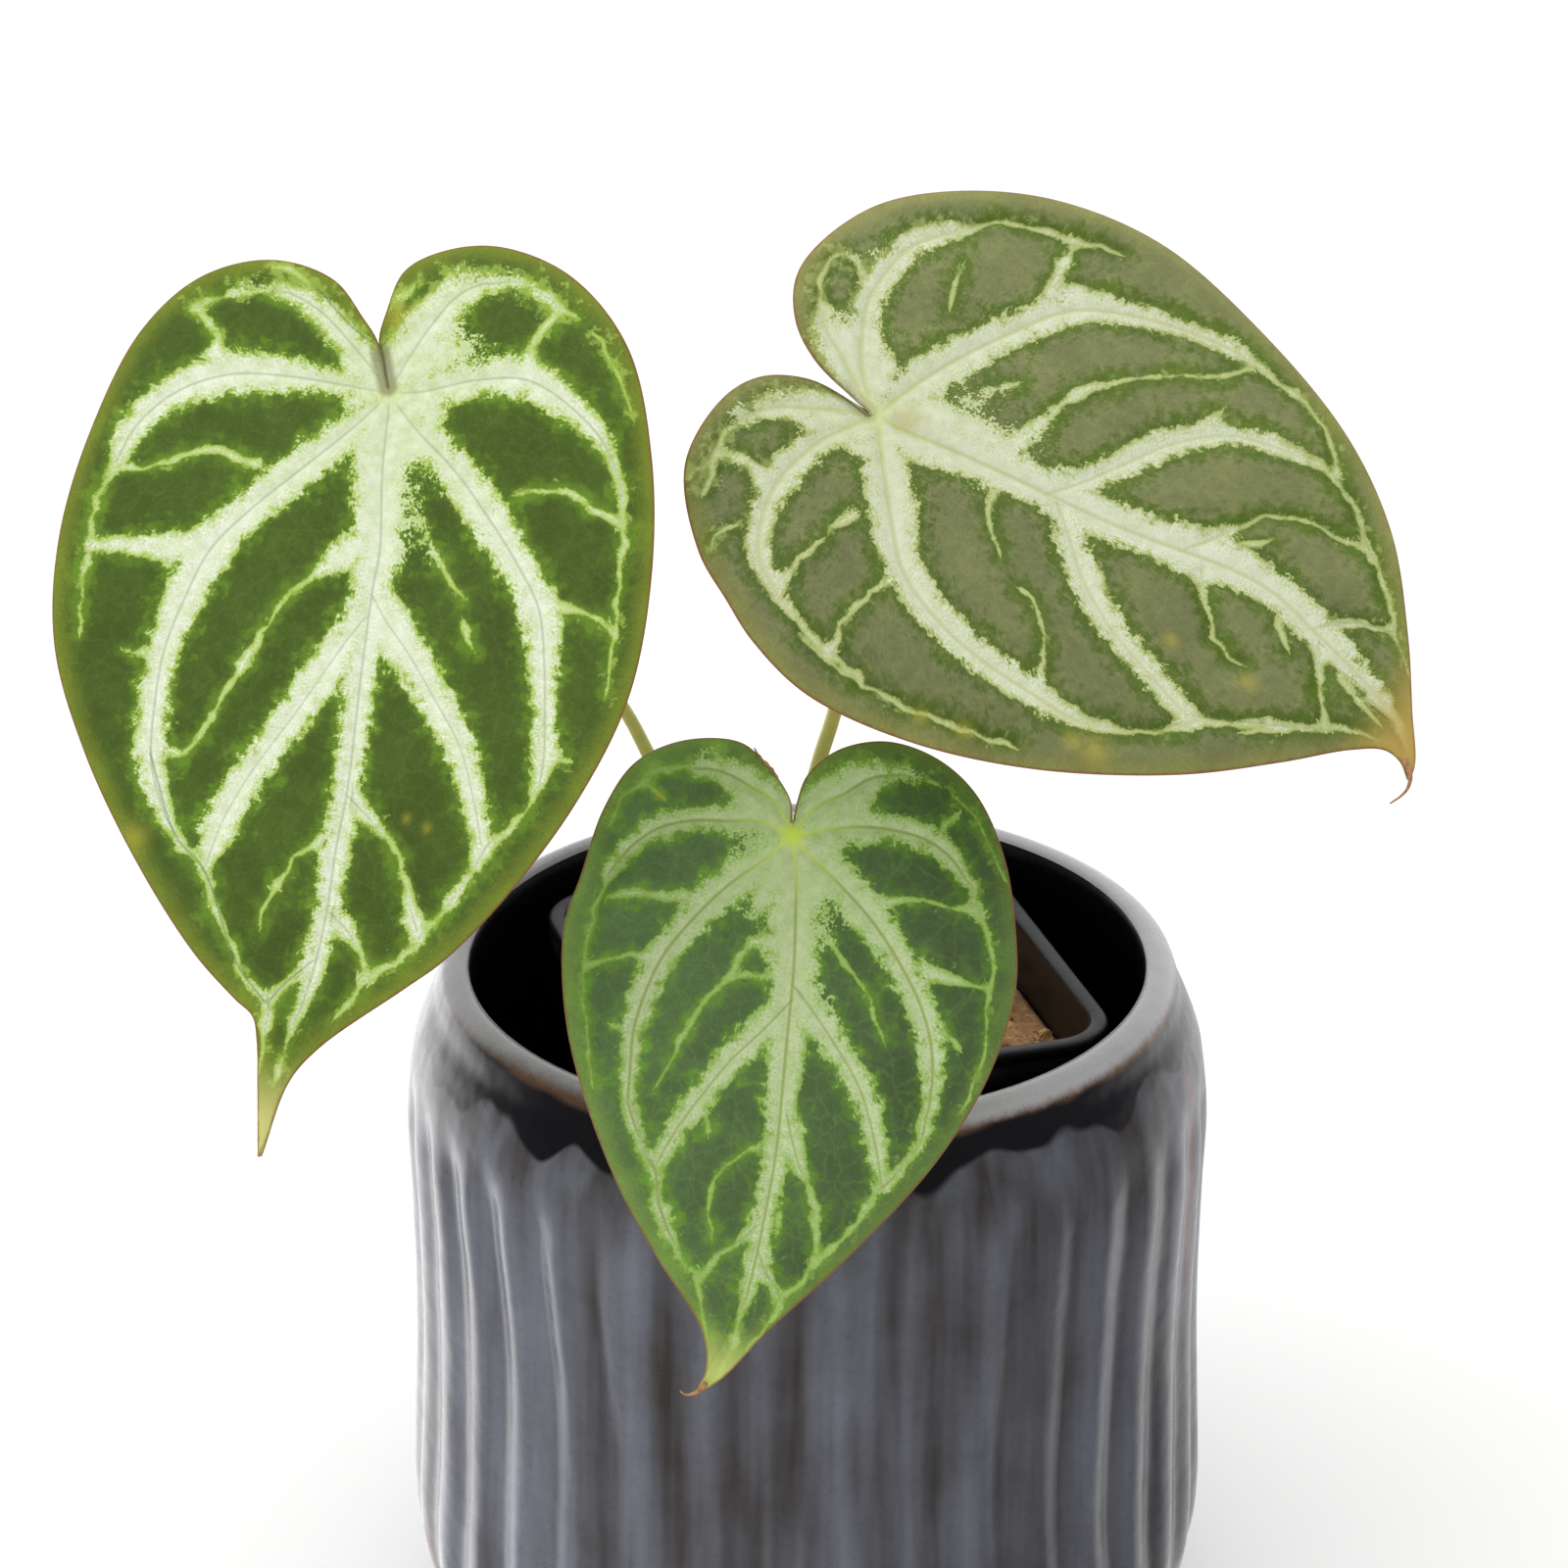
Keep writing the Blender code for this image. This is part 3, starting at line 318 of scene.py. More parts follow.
    "right": """
main+ 0 0 2.5, 1.2 6 4.8, 2.6 12 4.6, 4 19 3.9, 5.6 28 3.4, 7.4 38 3.4, 9.4 46 3.7, 11.4 53 4.3, 13 60 3.3, 13.2 66
  3, 12 72 3, 10.3 80 2.2, 8.7 86 1.8, 7.2 90 1.3, 5.5 93 0.8, 3.5 95.5 0.3
main- 0.5 -1.5 1.5, 3.2 -6 2.4, 5.6 -10 3, 7.2 -13.3 2.6, 9 -15.5 1.5, 11.5 -17.5 0.5, 13.5 -19 0.3, 16 -20 0.3,
  20.5 -20 0.3, 21 -18.3 0.4, 19.5 -15.5 0.6, 19 -14 1
main+ 0 -0.5 2, 3.5 -4 3.2, 7.5 -7.5 3.6, 12 -10 3, 16 -11.7 2.2, 22 -12.3 2.3, 28 -11.8 2.1, 32 -9.8 1.9, 37 -6
  1.2, 41.3 -2.5 0.4, 43.7 3 0.4, 45.5 8 0.8, 47.6 12.5 0.3, 48.5 15 0.15
main- 1 0.3 2, 9 2.2 3.4, 17 5 3.3, 25 8.6 2.7, 33 12.8 2.8, 36.5 16 2.6, 41 24 1.9, 43.8 32 1.6, 45.3 39.5 1.5,
  44.9 45 0.6, 44.3 51 0.5, 42.5 56.5 0.4, 39.5 60.3 0.5, 36.5 62.5 0.6
main- 0 -1 1.8, -2.8 -5 2.4, -5.5 -9 2.6, -8.5 -13 2.2, -11.5 -15 1.2, -17 -16.4 0.7, -22.5 -14.9 0.5, -27.5 -13.3
  0.3
main+ 0 0 2, -4 -2 2.6, -8 -4 2.3, -12 -5 2.2, -18 -5.7 2.6, -24 -4.6 2.1, -31 -1 1.8, -34.6 5 1.4, -37 11 0.8,
  -37.6 14 0.7, -38.3 19 0.9, -39 24.5 0.4, -37.8 32 0.5, -36 39 0.5, -33.5 47 0.3
main- -0.5 1 2, -4 3.7 3.4, -12 10.5 3.6, -19.5 17.8 3, -22.8 25.5 2.8, -24.4 34 2.6, -24.4 44 2.4, -24.1 51 1.5,
  -21.8 57 1.1, -18.3 62 0.4, -14 65.5 1, -13 66.3 1
branch+ 5.5 28 2, 9 30.5 2.4, 17 34.8 2.3, 25 39 2.2, 32 45.5 1.9, 35.2 53.5 1.6, 36.4 61 1, 35 65 0.6, 31.3 70.3
  0.5, 28.8 72.9 0.6, 25.5 77.5 0.6, 21 82 0.5, 19.5 82.8 0.5
branch+ 11 50 2, 14.5 52.3 1.8, 20 55 0.7, 24.5 58 0.6, 26.8 62.3 0.5, 27.3 68 0.5, 28.8 72.5 0.7
branch+ 12 73 1.5, 16.5 77 0.8, 18.3 81 0.4, 19.3 82.8 0.5
branch- 5.3 30 1.5, 2.5 33.5 2.2, -3.5 40.5 2.6, -7.8 48.5 2.2, -10.4 56.5 2, -12.2 63 1.8, -12.6 65.5 1.5, -11 69.5
  0.8, -7.2 74.5 0.9, -4.2 79.2 0.7, -1 83 0.6, 0.3 85.2 0.5, 1.8 90 0.2
branch- 9.5 54 2, 5 57 0.7, 2.3 60.3 0.7, 1 61.8 0.4, -0.5 67 0.1
branch- 10 75 1.5, 5.5 78 0.8, 1.5 81.3 0.6, -1 83 0.6
link 4.5 17 2.5, 8.5 19.5 2, 13 21 1.3, 22.5 22.8 0.9, 29.5 27.6 0.6, 35 33.3 0.4, 39.3 39 0.4, 43.5 41.5 0.9
link 33 11.5 2, 36 10 1.5, 42 8.7 0.9, 44.5 8.4 0.8
link 36 13 2.4, 40 18 1.2
link 31.5 42 1.6, 34.6 42.3 0.8
link 4 -3 3.5, 7 -3.5 3, 8.5 -4 1.8
link 4 -6 3, 8 -11 3.4
link -2 0.5 2.2, -6 1 2.2
link -3 -3.5 2.4, -7 -6.5 2.2
link 30 -3.1 0.3, 27 -2.6 0.4, 22.5 -1 0.2
link 4 4 3, 6.6 9 2.8, 7.2 15 2.4, 7.6 19 1.8
link 10 10.5 0.9, 14 11.5 0.6, 18 14.5 0.4
link 15 55 1.2, 17.5 57 0.8, 20.3 60.5 0.4
link -20.5 -15 0.6, -19.5 -10 1.2, -20 -7.5 2
link -29 -6 0.6, -31 -7.5 0.4, -32.5 -8.3 0.3, -34.5 -7.3 0.2
link -34 4.2 1.2, -28 4.6 0.5, -22 5.2 0.5, -17 6.5 0.9
link -37.5 16 0.9, -32 15.2 0.5, -26 16 0.6, -22 17 1.2
link 0.5 21.5 0.9, -3.5 22.8 0.35, -5.5 24.5 0.35, -8.7 28.6 0.3
link -11 33.5 0.4, -11.8 36.5 0.5, -16 41 0.3, -21 44 0.7
link 9.8 67.8 0.5, 7.5 69.5 0.4, 6 71.5 0.3
link 7 81 1.2, 5.2 85 0.6, 4.3 89.5 0.3
link 19.3 83 0.3, 17.5 85 0.3, 14.5 89 0.15
link -9.5 73 0.3, -6.2 78 0.3
link -23 -16 0.05, -26.5 -16.8 0.1
link -38.5 12 0.1, -39.5 18 0.2, -39.3 22 0.1
dark -12 66 0, -6 76 0, -1 84 0
dark 29.6 72 0, 28.6 73.4 0, 28 74.5 0
dark 15.5 76 0, 17.7 79 0, 19 83 0
dark 36 62.6 0, 33.2 67.8 0, 30 71.6 0
""",
}

# Thin veins wander: the spacing of the points on a vein, how far each strays, and how much slimmer it is than
# drawn, with how much that varies.
VEIN_STEP = 1.7
VEIN_CRINKLE = 0.22
VEIN_SLIMMING = 0.42
VEIN_BEADS = 0.3
VEIN_SEED = 5
# How far off a vein is still told, how softly bands melt into each other, and how many points are done at a time.
VEIN_REACH = 14.0
VEIN_BLEND = 0.45
CHUNK = 5000
# The relief: half the width of the valley over a vein and over the midrib, how far from a vein the blade is
# puffed up fully, how far from the base the valleys fade, and how thick the rounded margin is.
VALLEY_WIDTH = 0.9
MIDRIB_WIDTH = 1.6
PUFF_REACH = 3.5
VALLEY_FADE = 60.0
MARGIN_ROUNDING = 0.5
TIP_ZONE = (0.86, 0.97)  # where a blade's tip starts to change colour and has done so, as shares of its length
TIP_STRENGTH = 0.85

# How each blade's surface differs: its gloss, the strength of its vein lines and how much wider than usual they
# are, the strength of its creases, fine network, yellow base, lime flecks and painted shade between the lobes, the
# green in its silver, the strength of its margin's colour, partly a painted glow, how much brighter its greens are
# painted on its left and right as painted light, and how far from the silver they start and end deepening.
LEAF_LOOK = {
    "left": dict(gloss=0.2, line=0.45, wide=0.85, crease=0.5, network=0.35, star=0.35, flecks=0.6, seam=0.8,
                 greener=0.2, border=0.9, lit=(1.04, 1.0), deep=(-0.4, 2.4)),
    "centre": dict(gloss=0.3, line=0.75, wide=1.0, crease=0.25, network=1.0, star=0.95, flecks=0.5, seam=0.15,
                   greener=0.2, border=0.8, lit=(1.4, 0.84), deep=(-0.6, 2.0)),
    "right": dict(gloss=0.38, line=0.6, wide=1.5, crease=0.25, network=0.6, star=0.4, flecks=0.5, seam=0.35,
                  greener=0.15, border=0.6, lit=(0.93, 1.1), deep=(0.4, 3.3)),
}
# The colours that differ from blade to blade: what each one is, and its codes for the left, centre and right blade.
LEAF_TONES = {
    # Painted sheen: the right blade's greyish patch, paler than the deeper green beside its silver, paints the
    # velvet's sheen
    "patch": ("Green between the veins", "#495e20", "#4c6338", "#717747"),
    "edge": ("Brighter or deeper green next to the silver", "#628424", "#5c8428", "#4f6610"),
    "fringe": ("Lime fringe of the silver", "#a9c455", "#8db048", "#a9b566"),
    "silver": ("Silver bands", "#edf3e0", "#c9d6ab", "#dfe4cc"),
    # The margin zone's lighter green is partly the leaf's own colour and partly a painted glow of light through the
    # edge
    "margin": ("Margin zone", "#7a892b", "#6f8a3c", "#918f45"),
    "line": ("Vein lines", "#8c9b7c", "#8a9c40", "#b9bd80"),
    "tip": ("Tip", "#d8d583", "#c0cc70", "#bd9d4c"),
}
# Zones where silver and green mix in speckles, and yellowed spots: x, y and radius.
SPECKLES = {
    "left": table(
        "12 -9.2 3.2, 17 -15.5 2.6, 6.5 15 3, 7.2 19 3, 8.6 24 2.6, 9 -20 2.5, -24 -16 2.5, -3 -14 2.5, "
        "15 -20.5 2"),
    "centre": table("7.5 12.5 2.6, -7 2.5 2, 16 -13 2.2, -4.5 14 1.8, 9.5 24 2, -16 -10 2"),
    "right": table("11 11 3, 13 15.5 3, 12 24 2.2, -13 -18 3, 24 -17 2.5, 11 -13 1.5"),
}
SPOTS = {
    "left": table("13.5 64 0.7, 16.8 65 0.7, -1 -12 2, -27 72 2"),
    "centre": table("-21 -2.2 0.8"),
    "right": table("-27 57 2.4, -27.5 53.5 1.6, -36 39.5 1.4, -2.5 69.5 1.4, -4 56.5 1.2, -38 33 1.3, 2.5 4 2.2"),
}
# The dry, hooked tips, from inside the blade out to a hook's end, and the torn edge of the centre blade.
HOOKS = {
    "centre": table("2.2 84.6, 1.4 86, 0.2 86.9, -0.7 87, -1.4 86.6"),
    "right": table("1.8 95.8, 0.2 97.8, -1.8 98.5, -3.6 98.3, -5.6 97.6"),
}
HOOK_RADIUS = (0.9, 0.22)
TEAR = table("-8.2 -12.3, -6.9 -10.9, -5.4 -9.9, -4.2 -8.8, -3.3 -7.7")
TEAR_WIDTH = 0.9

# What a node's mode is called, for each kind of node that is asked for with one.
MODES = {"Math": "operation", "VectorMath": "operation", "Mix": "data_type", "MapRange": "interpolation_type"}


def srgb(code):
    """The linear colour of an sRGB hex code."""
    channels = [int(code[i:i + 2], 16) / 255 for i in (1, 3, 5)]
    return tuple(c / 12.92 if c <= 0.04045 else ((c + 0.055) / 1.055) ** 2.4 for c in channels) + (1.0,)


def colour_setting(name, description, code):
    return FloatVectorProperty(
        name=name, description=description, subtype="COLOR", size=4, min=0.0, max=1.0, default=srgb(code))


def number_setting(name, description, value, high=1.0):
    """A number from 0, shown as a factor where it ends at 1."""
    return FloatProperty(name=name, description=description, default=value, min=0.0, max=high,
                         subtype="FACTOR" if high == 1 else "NONE")


def length_setting(name, description, value):
    return number_setting(name, f"{description}, in mm", value, 50.0)


class GlazeSettings(bpy.types.PropertyGroup):
    """The cover pot's ribs and glaze."""
    rib_wobble: length_setting("Rib wobble", "How far the hand-made ribs wander sideways", 1.1)
    rib_softness: number_setting("Rib softness", "How rounded the valleys between ribs are", 0.6)
    wall: colour_setting("Wall", "Blue grey glaze on the ribbed wall", "#747884")
    wall_dark: colour_setting("Wall, thin glaze", "Brownish grey between the ribs", "#3b3431")
    run: colour_setting("Rust run", "The few thin rusty runs in the glaze", "#7d5334")
    # Painted reflection: the shoulder colour is partly a painted reflection of the dark room ahead, partly pooled
    # glaze
    shoulder: colour_setting("Shoulder", "Near-black navy glaze pooled under the lip", "#0d0b14")
    amber: colour_setting("Amber", "Brown glaze between the pool and the lip", "#6a4c30")
    # Painted reflection: the pale lip colour is partly glaze worn thin and partly the ceiling's painted reflection
    lip: colour_setting("Lip", "Pale grey glaze, worn thin on the lip", "#a3a1a6")
    inside: colour_setting("Inside", "Black glaze inside", "#060607")
    roughness: number_setting("Roughness", "Of the glaze", 0.28)


class PlasticSettings(bpy.types.PropertyGroup):
    """The thin nursery pot."""
    body: colour_setting("Plastic", "Black polypropylene", "#0d0d0f")
    scuff: colour_setting("Scuffs", "Grey scuffs and dust on the plastic", "#2a2829")
    roughness: number_setting("Roughness", "Of the plastic", 0.38)


class BarkSettings(bpy.types.PropertyGroup):
    """The potting mix."""
    light: colour_setting("Light bark", "Freshly broken faces", "#ecc89e")
    dark: colour_setting("Dark bark", "Old, damp bark", "#cd9c6f")
    soil: colour_setting("Fines", "Dust and peat between the chips", "#85654d")
    crumbs: IntProperty(name="Crumbs", description="Small crumbs between the chips", default=260, min=0, max=2000)
    chip_points: IntProperty(name="Chip points", description="Points round one chip", default=26, min=12, max=64)


class StemSettings(bpy.types.PropertyGroup):
    """The crown and the petioles."""
    crown: colour_setting("Crown", "Corky green brown stem", "#6d6a3a")
    sheath: colour_setting("Sheath", "Dry, papery sheath", "#9a7748")
    petiole: colour_setting("Petiole", "Olive green stalk", "#e2d977")
    petiole_foot: colour_setting("Petiole foot", "The stalk near the crown", "#8e8d44")


class LeafSettings(bpy.types.PropertyGroup):
    """The three blades."""
    thickness: length_setting("Thickness", "Of a blade", 0.55)
    channel: length_setting("Channel", "How deep the main veins lie in the upper face", 0.35)
    ridge: length_setting("Ridge", "How far the veins stand out of the underside", 0.7)
    quilting: length_setting("Quilting", "How far the blade puffs up between its veins", 0.45)
    grain: length_setting("Grain", "Size of the silver's grains", 0.42)
    feather: length_setting("Feather", "Width of the strands that the silver's edge frays into", 0.55)
    fringe: length_setting("Fringe", "How ragged the silver's edge is", 1.0)
    line_width: length_setting("Line", "Half the width of a vein's centre line", 0.24)
    rim_width: length_setting("Rim", "Width of the brown line along the margin", 0.34)
    network: number_setting("Network", "Strength of the finest veins", 0.11)
    rings: IntProperty(name="Rings", description="Rings of the upper face", default=100, min=20, max=200)
    turns: IntProperty(name="Turns", description="Points round the margin", default=700, min=100, max=2000)
    under_rings: IntProperty(name="Under rings", description="Rings of the underside", default=30, min=8, max=100)
    rim: colour_setting("Rim colour", "Red brown line along the margin", "#8a4f2c")
    spot: colour_setting("Spot", "Yellowed spots", "#b3a83c")
    base: colour_setting("Base", "Yellow green where the veins meet", "#c8dc46")
    # Painted shade: the brown grey between the lobes near the base paints the shade where the lobes fold back
    seam: colour_setting("Seam", "Brown grey edges between the lobes, near the base", "#8c8b66")
    dark_line: colour_setting("Dark line", "Darker creases along some outer veins", "#5f7258")
    underside: colour_setting("Underside", "Pale green underside", "#8fa268")
    underside_vein: colour_setting("Underside veins", "Raised pale veins of the underside", "#b9c48c")
    dry: colour_setting("Dry", "Dry, brown hooks and torn edges", "#a67c55")


for tone, (what, *codes) in LEAF_TONES.items():
    for side, code in zip(BLADES, codes):
        LeafSettings.__annotations__[f"{side}_{tone}"] = colour_setting(
            f"{side.title()} {tone}", f"{what}, {side} blade", code)


class StageSettings(bpy.types.PropertyGroup):
    """Floor and light."""
    floor: colour_setting("Floor", "White studio floor", "#f0f0ef")
    floor_glow: number_setting("Floor glow", "Light from the floor, lit from below", 0.24)
    left_light: number_setting("Left light", "Brightness of the room on the left", 0.85, 10)
    right_light: number_setting("Right light", "Brightness of the room on the right", 0.75, 10)
    top_light: number_setting("Top light", "Brightness of the room overhead", 1.0, 10)
    key: number_setting("Key", "Power of the overhead soft light, in watts", 3.0, 100)
    left_panel: number_setting("Left panel", "Mirrored brightness low on the left", 2.4, 10)
    right_panel: number_setting("Right panel", "Mirrored brightness low on the right", 1.2, 10)
    panel_edge: number_setting("Panel edge", "How far back the panels start, as the y of a direction", 0.3)
    dark_room: number_setting("Dark room", "Mirrored brightness of the room ahead", 0.1, 10)
    back_wall: number_setting("Back wall", "Mirrored brightness behind", 1.3, 10)
    ceiling: number_setting("Ceiling", "Mirrored brightness overhead", 1.6, 10)


def feed(socket, value):
    """Sets an input, or links it from a socket or from a node's first output in use; None leaves it as it is."""
    if isinstance(value, bpy.types.Node):
        value = next(output for output in value.outputs if output.enabled)
    if isinstance(value, bpy.types.NodeSocket):
        socket.id_data.links.new(value, socket)
    elif value is not None:
        socket.default_value = value


def add_node(tree, kind, *values, stops=(), **settings):
    """Adds a node and feeds its inputs in use with values, in their order. The kind may name the node's mode after
    a space, such as an operation, and stops fill a colour ramp."""
    kind, _, mode = kind.partition(" ")
    node = tree.nodes.new("ShaderNode" + kind)
    if mode:
        settings[MODES[kind]] = mode
    for name, value in settings.items():
        setattr(node, name, value)
    for socket, value in zip([socket for socket in node.inputs if socket.enabled], values):
        feed(socket, value)
    for k, (place, colour) in enumerate(stops):
        element = node.color_ramp.elements[k] if k < 2 else node.color_ramp.elements.new(1.0)
        element.position, element.color = place, colour
    return node


def new_material(name):
    """A material, and the function that adds a node to it."""
    made = bpy.data.materials.new(name)
    made.use_nodes = True
    return made, partial(add_node, made.node_tree)


def finished(made, **inputs):
    """The material, once its shader's inputs are fed."""
    for key, value in inputs.items():
        feed(made.node_tree.nodes["Principled BSDF"].inputs[key.replace("_", " ")], value)
    return made


def smooth_curve(points, count):
    """count points, evenly spaced by length, on a centripetal Catmull-Rom curve through the given ones."""
    p = np.array(points, float)
    p = np.vstack([2 * p[0] - p[1], p, 2 * p[-1] - p[-2]])
    knot = np.concatenate([[0], np.cumsum(np.sqrt(np.linalg.norm(np.diff(p, axis=0), axis=1)))])

    def between(t, k, first, l, second):
        return (knot[l] - t) / (knot[l] - knot[k]) * first + (t - knot[k]) / (knot[l] - knot[k]) * second

    fine = []
    for i in range(1, len(p) - 2):
        t = np.linspace(knot[i], knot[i + 1], 40, endpoint=False)[:, None]
        a = [between(t, k, p[k], k + 1, p[k + 1]) for k in (i - 1, i, i + 1)]
        b = [between(t, k, a[k - i + 1], k + 2, a[k - i + 2]) for k in (i - 1, i)]
        fine.append(between(t, i, b[0], i + 1, b[1]))
    fine = np.vstack(fine + [p[-2:-1]])
    run = np.concatenate([[0], np.cumsum(np.linalg.norm(np.diff(fine, axis=0), axis=1))])
    at = np.linspace(0, run[-1], count)
    return np.stack([np.interp(at, run, column) for column in fine.T], axis=1)


def rise(value, start, end):
    """0 below start, 1 above end, and a smooth step between them."""
    t = np.clip((value - start) / (end - start), 0.0, 1.0)
    return t * t * (3 - 2 * t)


def unit(vector):
    return vector / np.linalg.norm(vector)


def spin(angle):
    """The matrix that turns (x, y) rows by an angle."""
    return np.array([[math.cos(angle), math.sin(angle)], [-math.sin(angle), math.cos(angle)]])


def round_angles(count):
    """Angles all the way round, as a row."""
    return np.linspace(0, 2 * np.pi, count, endpoint=False)[None, :]


def grid_faces(rows, columns, first=0):
    """Quads of a grid of points numbered row by row, which joins its last column to its first."""
    r, c = (index.ravel() for index in np.meshgrid(np.arange(rows - 1), np.arange(columns), indexing="ij"))
    after = (c + 1) % columns
    return first + np.stack([r * columns + c, r * columns + after, (r + 1) * columns + after,
                             (r + 1) * columns + c], axis=1)


def fan_faces(centre, ring_first, count, flip=False):
    """Triangles from one point to a closed ring."""
    i = ring_first + np.arange(count)
    j = np.roll(i, -1)
    return np.stack([np.full(count, centre), *((j, i) if flip else (i, j))], axis=1)


def capped(rows, first=None, last=None):
    """Points and faces of rows of closed rings, closed by a point at each end, in its ring's middle unless given."""
    rows = np.asarray(rows)
    count = rows.shape[1]
    ends = [ring.mean(axis=0) if end is None else end for ring, end in ((rows[0], first), (rows[-1], last))]
    points = np.vstack([rows.reshape(-1, 3), *ends])
    return points, [grid_faces(len(rows), count), fan_faces(len(points) - 2, 0, count, flip=True),
                    fan_faces(len(points) - 1, (len(rows) - 1) * count, count)]


def turned_grid(heights, radii, angles):
    """Points of a surface of revolution, (r cos a, r sin a, z), for rows by angles."""
    z, r, a = np.broadcast_arrays(heights, radii, angles)
    return np.stack([r * np.cos(a), r * np.sin(a), z], axis=-1)


def signed_volume(points, faces):
    """Six times the volume that the faces enclose, negative where they point inwards."""
    total = 0.0
    for group in faces:
        a = points[group[:, 0]]
        for k in range(1, group.shape[1] - 1):
            total += np.einsum("ij,ij->i", a, np.cross(points[group[:, k]], points[group[:, k + 1]])).sum()
    return total


def new_object(name, data):
    obj = bpy.data.objects.new(name, data)
    bpy.context.scene.collection.objects.link(obj)
    return obj


def new_piece(name, points, faces, materials, attributes=None, face_materials=None, *, slot, replaced=()):
    """An object from points in mm and groups of faces, turned to face outwards, riding on the root body."""
    if signed_volume(points, faces) < 0:
        faces = [group[:, ::-1] for group in faces]
    mesh = bpy.data.meshes.new(name)
    mesh.vertices.add(len(points))
    mesh.vertices.foreach_set("co", (np.asarray(points) * MM).astype(np.float32).ravel())
    loops = np.concatenate([group.ravel() for group in faces])
    sizes = np.concatenate([np.full(len(group), group.shape[1]) for group in faces])
    mesh.loops.add(len(loops))
    mesh.loops.foreach_set("vertex_index", loops.astype(np.int32))
    mesh.polygons.add(len(sizes))
    mesh.polygons.foreach_set("loop_start", (np.cumsum(sizes) - sizes).astype(np.int32))
    if face_materials is not None:
        mesh.polygons.foreach_set("material_index", np.asarray(face_materials, np.int32))
    mesh.update(calc_edges=True)
    mesh.validate()
    mesh.shade_smooth()
    for finish in materials:
        mesh.materials.append(finish)
    for key, values in (attributes or {}).items():
        kind, field = ("FLOAT_VECTOR", "vector") if np.ndim(values) == 2 else ("FLOAT", "value")
        mesh.attributes.new(key, kind, "POINT").data.foreach_set(field, np.asarray(values, np.float32).ravel())
    obj = new_object(name, mesh)
    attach(obj, ROOT)
    if replaced:
        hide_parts(*replaced)


def glaze_material(settings):
    """Reactive stoneware glaze, fired glossy: blue grey and streaked where it ran down the wall, browner in the
    valleys between ribs, with painted light brightening the wall on the left, navy and near black on the shoulder,
    partly where it pooled and partly a painted reflection of the dark room ahead, pale and thin on the lip, partly a
    painted reflection of the ceiling with a painted highlight towards the right, black inside."""
    made, add = new_material("reactive glaze on stoneware")
    place = add("TexCoord").outputs["Object"]
    x, y, height = add("SeparateXYZ", place).outputs
    crest = add("Attribute", attribute_name="crest").outputs["Fac"]
    # Streaks about 5 mm wide that run most of the wall's height, finer ones of 1.5 mm, and mottling
    tall, full, dripping = (add("Mapping", place, None, None, (1.0, 1.0, squeeze))
                            for squeeze in (0.06, 0.03, 0.25))
    wide = add("TexNoise", tall, 170.0, 2.0, 0.5)
    thin = add("TexNoise", tall, 620.0, 2.0)
    cloud = add("TexNoise", place, 38.0, 3.0, 0.55)
    mottle = add("TexNoise", place, 480.0, 4.0, 0.65)
    streak = add("MapRange", wide, 0.33, 0.67)
    for part, share in ((crest, 0.45), (cloud, 1.5), (thin, 0.6)):
        streak = add("Math MULTIPLY_ADD", part, share, streak)
    factor = add("MapRange", streak, 0.95, 2.75)
    wall = add("Mix RGBA", factor, settings.wall_dark, settings.wall)
    # Painted light: the wall's colour is scaled brighter on the left than on the right, for the room's brighter left
    # side
    turned = add("MapRange", x, -0.06, 0.06, 1.3, 0.62)
    fine = add("MapRange", mottle, 0.3, 0.75, 0.93, 1.08)
    strength = add("Math MULTIPLY", turned, fine)
    colour = add("VectorMath SCALE", wall, strength)
    # Rusty runs, narrow peaks of a noise stretched almost to the pot's full height; a near-black band on the
    # shoulder, partly glaze pooled there and partly a painted reflection of the dark room ahead, its lower edge
    # drawn out into drips about 8 mm apart; and a thin brown edge above it
    runs = add("TexNoise", full, 150.0, 1.0)
    drips = add("TexNoise", dripping, 75.0, 1.0, 0.5)
    pool_and_reflection_edge = add("Math MULTIPLY_ADD", drips, 0.02, height)
    thin_edge = add("Math MULTIPLY_ADD", cloud, 0.006, height)
    for value, low, high, most, tint in (
            (runs, 0.69, 0.76, 0.5, settings.run), (pool_and_reflection_edge, 0.1234, 0.1247, 1.0, settings.shoulder),
            (thin_edge, 0.1222, 0.1236, 0.8, settings.amber)):
        share = add("MapRange SMOOTHSTEP", value, low, high, 0.0, most)
        colour = add("Mix RGBA", share, colour, tint)
    # The pale lip, partly glaze worn thin and partly a painted reflection of the ceiling, reaches less far down at
    # the front left
    flat = add("CombineXYZ", x, y)
    to_front = add("VectorMath DISTANCE", flat, (-0.036, -0.046, 0.0))
    lower = add("MapRange", to_front, 0.012, 0.04, -0.0013, 0.0)
    worn = add("Math MULTIPLY_ADD", mottle, 0.0012, lower)
    worn = add("Math ADD", worn, height)
    worn = add("MapRange SMOOTHSTEP", worn, 0.1203, 0.1222)
    # Painted highlight: the lip is painted brighter towards the right
    brighter = add("MapRange", x, -0.045, 0.045, 0.7, 1.2)
    lip = add("VectorMath SCALE", settings.lip[:3], brighter)
    colour = add("Mix RGBA", worn, colour, lip)
    # Inside the pot, measured from its axis
    from_axis = add("VectorMath LENGTH", flat)
    wall_line = add("MapRange", height, 0.100, 0.1225, 0.0605, 0.0558)
    inner = add("Math LESS_THAN", from_axis, wall_line)
    above_foot = add("Math GREATER_THAN", height, 0.004)
    inside = add("Math MULTIPLY", inner, above_foot)
    colour = add("Mix RGBA", inside, colour, settings.inside)
    gloss = add("MapRange", mottle, 0.3, 0.8, settings.roughness - 0.03, settings.roughness + 0.06)
    # Glaze lies unevenly, in waves of about a centimetre
    swell = add("TexNoise", place, 95.0, 2.0)
    bump = add("Bump", 0.35, 0.0012, None, swell)
    bump = add("Bump", 0.04, 0.0003, None, mottle, bump)
    return finished(made, Base_Color=colour, Roughness=gloss, Normal=bump, IOR=1.55)


